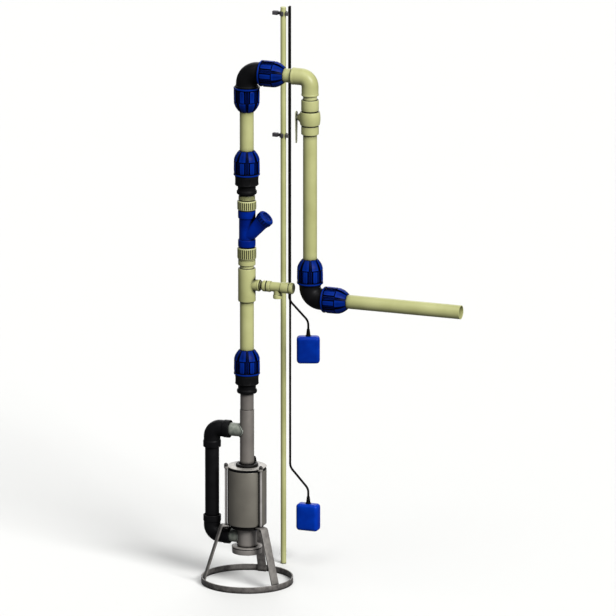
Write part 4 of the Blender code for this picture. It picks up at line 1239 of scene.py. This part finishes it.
def make_unions():
    low = TEE_TOP - TEE_SEAT + GAP
    tube_piece("tee_nipple", at(z=low), UNION_STOP - GAP - low, "nipple", bore=PVC_BORE)
    tail = UNION_NUT_LOWER - GAP
    lower = (
        (UNION_STOP, SEAT), (UNION_LOWER, SEAT, 0.0006), (UNION_LOWER, 0.031, 0.0024),
        *groove(tail - 0.006, tail - 0.003, 0.031, 0.0302, 0.0004),
        (tail, 0.031, 0.0006), (tail, PVC_BORE), (UNION_STOP, PVC_BORE),
    )
    turned_piece("union_lower_socket", lower, AT_AXIS, "cream", closed=True)
    union_nut("union_lower_nut", UNION_NUT_LOWER, VALVE_BOTTOM - GAP)
    union_nut("union_upper_nut", VALVE_TOP + GAP, UNION_UPPER - GAP)
    upper = [(UNION_UPPER, STOP_BORE), (UNION_UPPER, 0.0285, 0.0006)]
    for turn in range(RIDGES):
        upper += [(UNION_UPPER + turn * RIDGE_PITCH + up, radius, 0.0005) for up, radius in RIDGE_STEPS]
    seat = SPIGOT_RADIUS + GAP
    stop = UNION_UPPER + UNION_SEAT
    upper += [(UNION_TOP, 0.0285, 0.0018), (UNION_TOP, seat), (stop, seat), (stop, STOP_BORE)]
    turned_piece("union_upper_socket", upper, AT_AXIS, "cream", closed=True)


def make_check_valve():
    """A Y-pattern check valve: a straight body with collars, and a capped branch at 45 degrees."""
    shape = bmesh.new()
    steps = [(VALVE_BOTTOM, 0.02), (VALVE_BOTTOM, VALVE_BODY, 0.0008)]
    for low, high in VALVE_COLLARS:
        steps += [(low - 0.001, VALVE_BODY, 0.0012), (low, SOCKET_RADIUS, 0.0022)]
        steps += [(high, SOCKET_RADIUS, 0.0022), (high + 0.001, VALVE_BODY, 0.0012)]
    steps += [(VALVE_TOP, VALVE_BODY, 0.0008), (VALVE_TOP, 0.02)]
    add_turned(shape, steps, AT_AXIS)
    branch = (
        (0.0705, 0.0268), (0.08, 0.0268, 0.0006), (0.0806, 0.0282, 0.0006), (0.0876, 0.0282, 0.0008),
        (0.088, 0.02),
    )
    place = at(z=VALVE_BRANCH, direction=SLANT)
    add_branch(shape, place, VALVE_BODY, branch, BRANCH_FILLET, root=0.01, lean=math.pi / 4)
    finish_piece("check_valve_body", shape, "navy")
    sides = CAP_NOTCHES * RIB_PERIOD
    rows = ((0.0905, 0), (0.0912, 0.0014), (0.103, 0.0014), (0.104, 0))
    rings = circles(((0.0883, 0.02), (0.0883, 0.0298), (0.0892, 0.0306)), sides)
    rings += dented_rings(rows, CAP_RADIUS, sides, RIB_PERIOD, RIB_GAPS)
    face = (
        (0.1052, 0.0306), (0.107, 0.0292), (0.1092, 0.0272), (0.1095, 0.0264), (0.1095, 0.0196),
        (0.1088, 0.0188), (0.1072, 0.0186), (0.1068, 0.0178), (0.1068, 0.006),
    )
    skin_piece("check_valve_cap", rings + circles(face, sides), place, "lugs", closed=False)


# Gooseneck, ball valve and outlet

def make_gooseneck():
    corner = Vector((0, 0, TOP_Z))
    compression_elbow("top_elbow", corner, (DOWN, EAST), ("top_elbow_nut_down", "top_elbow_nut_side"))
    tube_piece("gooseneck_pipe", at(PIPE_STOP, 0, TOP_Z, EAST), DROP_X - PVC_STOP - GAP - PIPE_STOP)
    outer = (
        (PVC_REACH - 0.002, SEAT), (PVC_REACH, SEAT + 0.001, 0.0006), (PVC_REACH, 0.031, 0.0022),
        (0.06, 0.031, 0.0014), (0.058, PVC_RADIUS, 0.0014), (PVC_BEND, PVC_RADIUS),
    )
    inner = ((PVC_REACH - 0.003, SEAT), (PVC_STOP, SEAT), (PVC_STOP, PVC_BORE), (PVC_BEND, PVC_BORE))
    turn = Vector((DROP_X, 0, TOP_Z))
    elbow_piece("pvc_elbow", turn, (WEST, DOWN), PVC_BEND, outer, inner, "cream")
    top = TOP_Z - PVC_STOP - GAP
    tall = top - (BALL_MIDDLE + BALL_HIGH_STOP + GAP)
    tube_piece("elbow_nipple", at(DROP_X, 0, top, DOWN), tall, "nipple", bore=PVC_BORE)


BELLY_STEPS = 12
BELLY_HALF = 0.024
BELLY_EDGE = 0.0345
BELLY_SWELL = 0.0028
NECK_STEPS = ((0.0256, 0.029, 0.0004), (0.0278, 0.029, 0.0004), (0.0285, SOCKET_RADIUS, 0.001))


def make_ball_valve():
    """A ball valve: a socket at each end, a round belly between grooves, and the stem's boss."""
    shape = bmesh.new()
    steps = [(-0.056, SEAT), (-0.059, SEAT + 0.0012, 0.0008), (-0.059, SOCKET_RADIUS, 0.0028)]
    steps += [(-along, *rest) for along, *rest in reversed(NECK_STEPS)]
    for step in range(-BELLY_STEPS, BELLY_STEPS + 1):
        share = step / BELLY_STEPS
        rounding = (0.002,) if abs(step) == BELLY_STEPS else ()
        steps.append((share * BELLY_HALF, BELLY_EDGE + BELLY_SWELL * (1 - share * share), *rounding))
    steps += [*NECK_STEPS, *socket_mouth(0.068, -1)]
    steps += [(BALL_HIGH_STOP, SEAT), (BALL_HIGH_STOP, 0.02), (BALL_LOW_STOP, 0.02), (BALL_LOW_STOP, SEAT)]
    add_turned(shape, steps, at(DROP_X, 0, BALL_MIDDLE), closed=True)
    boss = (
        (0.027, 0.0215), (0.033, 0.0205, 0.002), (0.0375, 0.017, 0.002), (0.041, 0.0135, 0.001),
        (0.044, 0.012, 0.0008), (0.044, 0.005),
    )
    add_turned(shape, boss, at(DROP_X, 0, BALL_MIDDLE, WEST))
    finish_piece("ball_valve_body", shape, "cream")


LEVER_HALF = 0.0015
LEVER_EDGE = 0.0007
LEVER_HEAD = ((0, 0.011), 0.011, 0, 180, 24)
LEVER_TIP = ((0, -0.09), 0.006, 180, 360, 16)
LEVER_HUB = ((0.001, 0.006), (0.001, 0.0085, 0.0004), (0.0077, 0.0085, 0.001), (0.0077, 0.006))


def make_lever():
    """The lever's rounded plate and its hub."""
    outline = arc(*LEVER_HEAD) + arc(*LEVER_TIP)
    place = upright(LEVER_PLANE, 0, BALL_MIDDLE)
    shape = slab(0, outline, -LEVER_HALF, LEVER_HALF, place, LEVER_EDGE)
    add_turned(shape, LEVER_HUB, at(LEVER_PLANE, 0, BALL_MIDDLE, EAST), sides=SMALL_SIDES)
    finish_piece("valve_lever", shape, "pale", body=LEVER)


def make_outlet():
    corner = Vector((DROP_X, 0, OUTLET_Z))
    compression_elbow("outlet_elbow", corner, (UP, EAST), ("outlet_elbow_nut_up", "outlet_elbow_nut_side"))
    low = OUTLET_Z + PIPE_STOP
    tube_piece("downpipe", at(DROP_X, 0, low), BALL_MIDDLE + BALL_LOW_STOP - GAP - low)
    start = DROP_X + PIPE_STOP
    tube_piece("discharge_pipe", at(start, 0, OUTLET_Z, EAST), OUTLET_END - start, chamfer=OUTLET_CHAMFER)


# Level rail and clips

CLIP_HEIGHTS = {"rail_clip_upper": 2.034, "rail_clip_lower": 1.586}
CLIP_RADIUS = 0.0135
CLIP_MOUTH = (6, 291)
CLIP_STEPS = 60
CLIP_HALF = 0.0075
CLIP_EDGE = 0.0008
# Blocks beside the ring: place along X, half size and rounding
CLIP_BLOCKS = ((-0.03, (0.01, 0.0075, 0.007), 0.0016), (-0.0184, (0.0066, 0.0035, 0.005), 0.001))
SADDLE_HALF = 0.006
SADDLE_EDGE = 0.0006
SADDLE_ENDS = (0.0112, 0.0243)
SADDLE_WIDTH = 0.009
CHANNEL_LIMIT = 0.0088
CHANNEL_ARCS = {-1: (270, 110), 1: (250, 90)}
CHANNEL_STEPS = 14


def make_rail():
    steps = ((0, 0.006), (0, RAIL_RADIUS, 0.0008), (RAIL_TOP, RAIL_RADIUS, 0.0022), (RAIL_TOP, 0.004))
    turned_piece("level_rail", steps, at(RAIL_X, RAIL_Y), "rail", sides=RAIL_SIDES)


def saddle_outline():
    """The clip's saddle from above: a block with two round channels for the leads."""
    near, far = SADDLE_ENDS
    outline = [(near, -SADDLE_WIDTH), (far, -SADDLE_WIDTH)]
    for side, (start, end) in CHANNEL_ARCS.items():
        centre = (LEAD_X - RAIL_X, side * LEAD_OFFSET)
        points = arc(centre, LEAD_RADIUS + GAP, start, end, CHANNEL_STEPS)
        outline += [point for point in points if abs(point[1]) < CHANNEL_LIMIT]
    return outline + [(far, SADDLE_WIDTH), (near, SADDLE_WIDTH)]


def make_clip(name, height):
    """A snap clip round the rail: a mounting block on one side and a saddle for the leads."""
    place = upright(RAIL_X, RAIL_Y, height)
    start, end = CLIP_MOUTH
    ring = arc((0, 0), CLIP_RADIUS, start, end, CLIP_STEPS)
    ring += arc((0, 0), RAIL_RADIUS + GAP, end, start, CLIP_STEPS)
    shape = slab(2, ring, -CLIP_HALF, CLIP_HALF, place, CLIP_EDGE)
    for x, half, rounding in CLIP_BLOCKS:
        add_rounded_box(shape, Vector(half), rounding, place @ Matrix.Translation((x, 0, 0)))
    join_into(shape, slab(2, saddle_outline(), -SADDLE_HALF, SADDLE_HALF, place, SADDLE_EDGE))
    finish_piece(name, shape, "clip")


make_camera()
make_studio()
for look in LOOKS:
    make_finish_and_shade(look)
for float_node in FLOAT_TOPS:
    make_lead(float_node, make_float(float_node))
make_base_ring()
make_legs()
make_pump_end()
make_motor()
make_top_cover()
make_tie_rods()
make_cable_gland()
make_steel_riser()
make_bypass()
make_adaptors()
make_riser_pipes()
make_tee()
make_relief()
make_unions()
make_check_valve()
make_gooseneck()
make_ball_valve()
make_lever()
make_outlet()
make_rail()
for clip, clip_height in CLIP_HEIGHTS.items():
    make_clip(clip, clip_height)
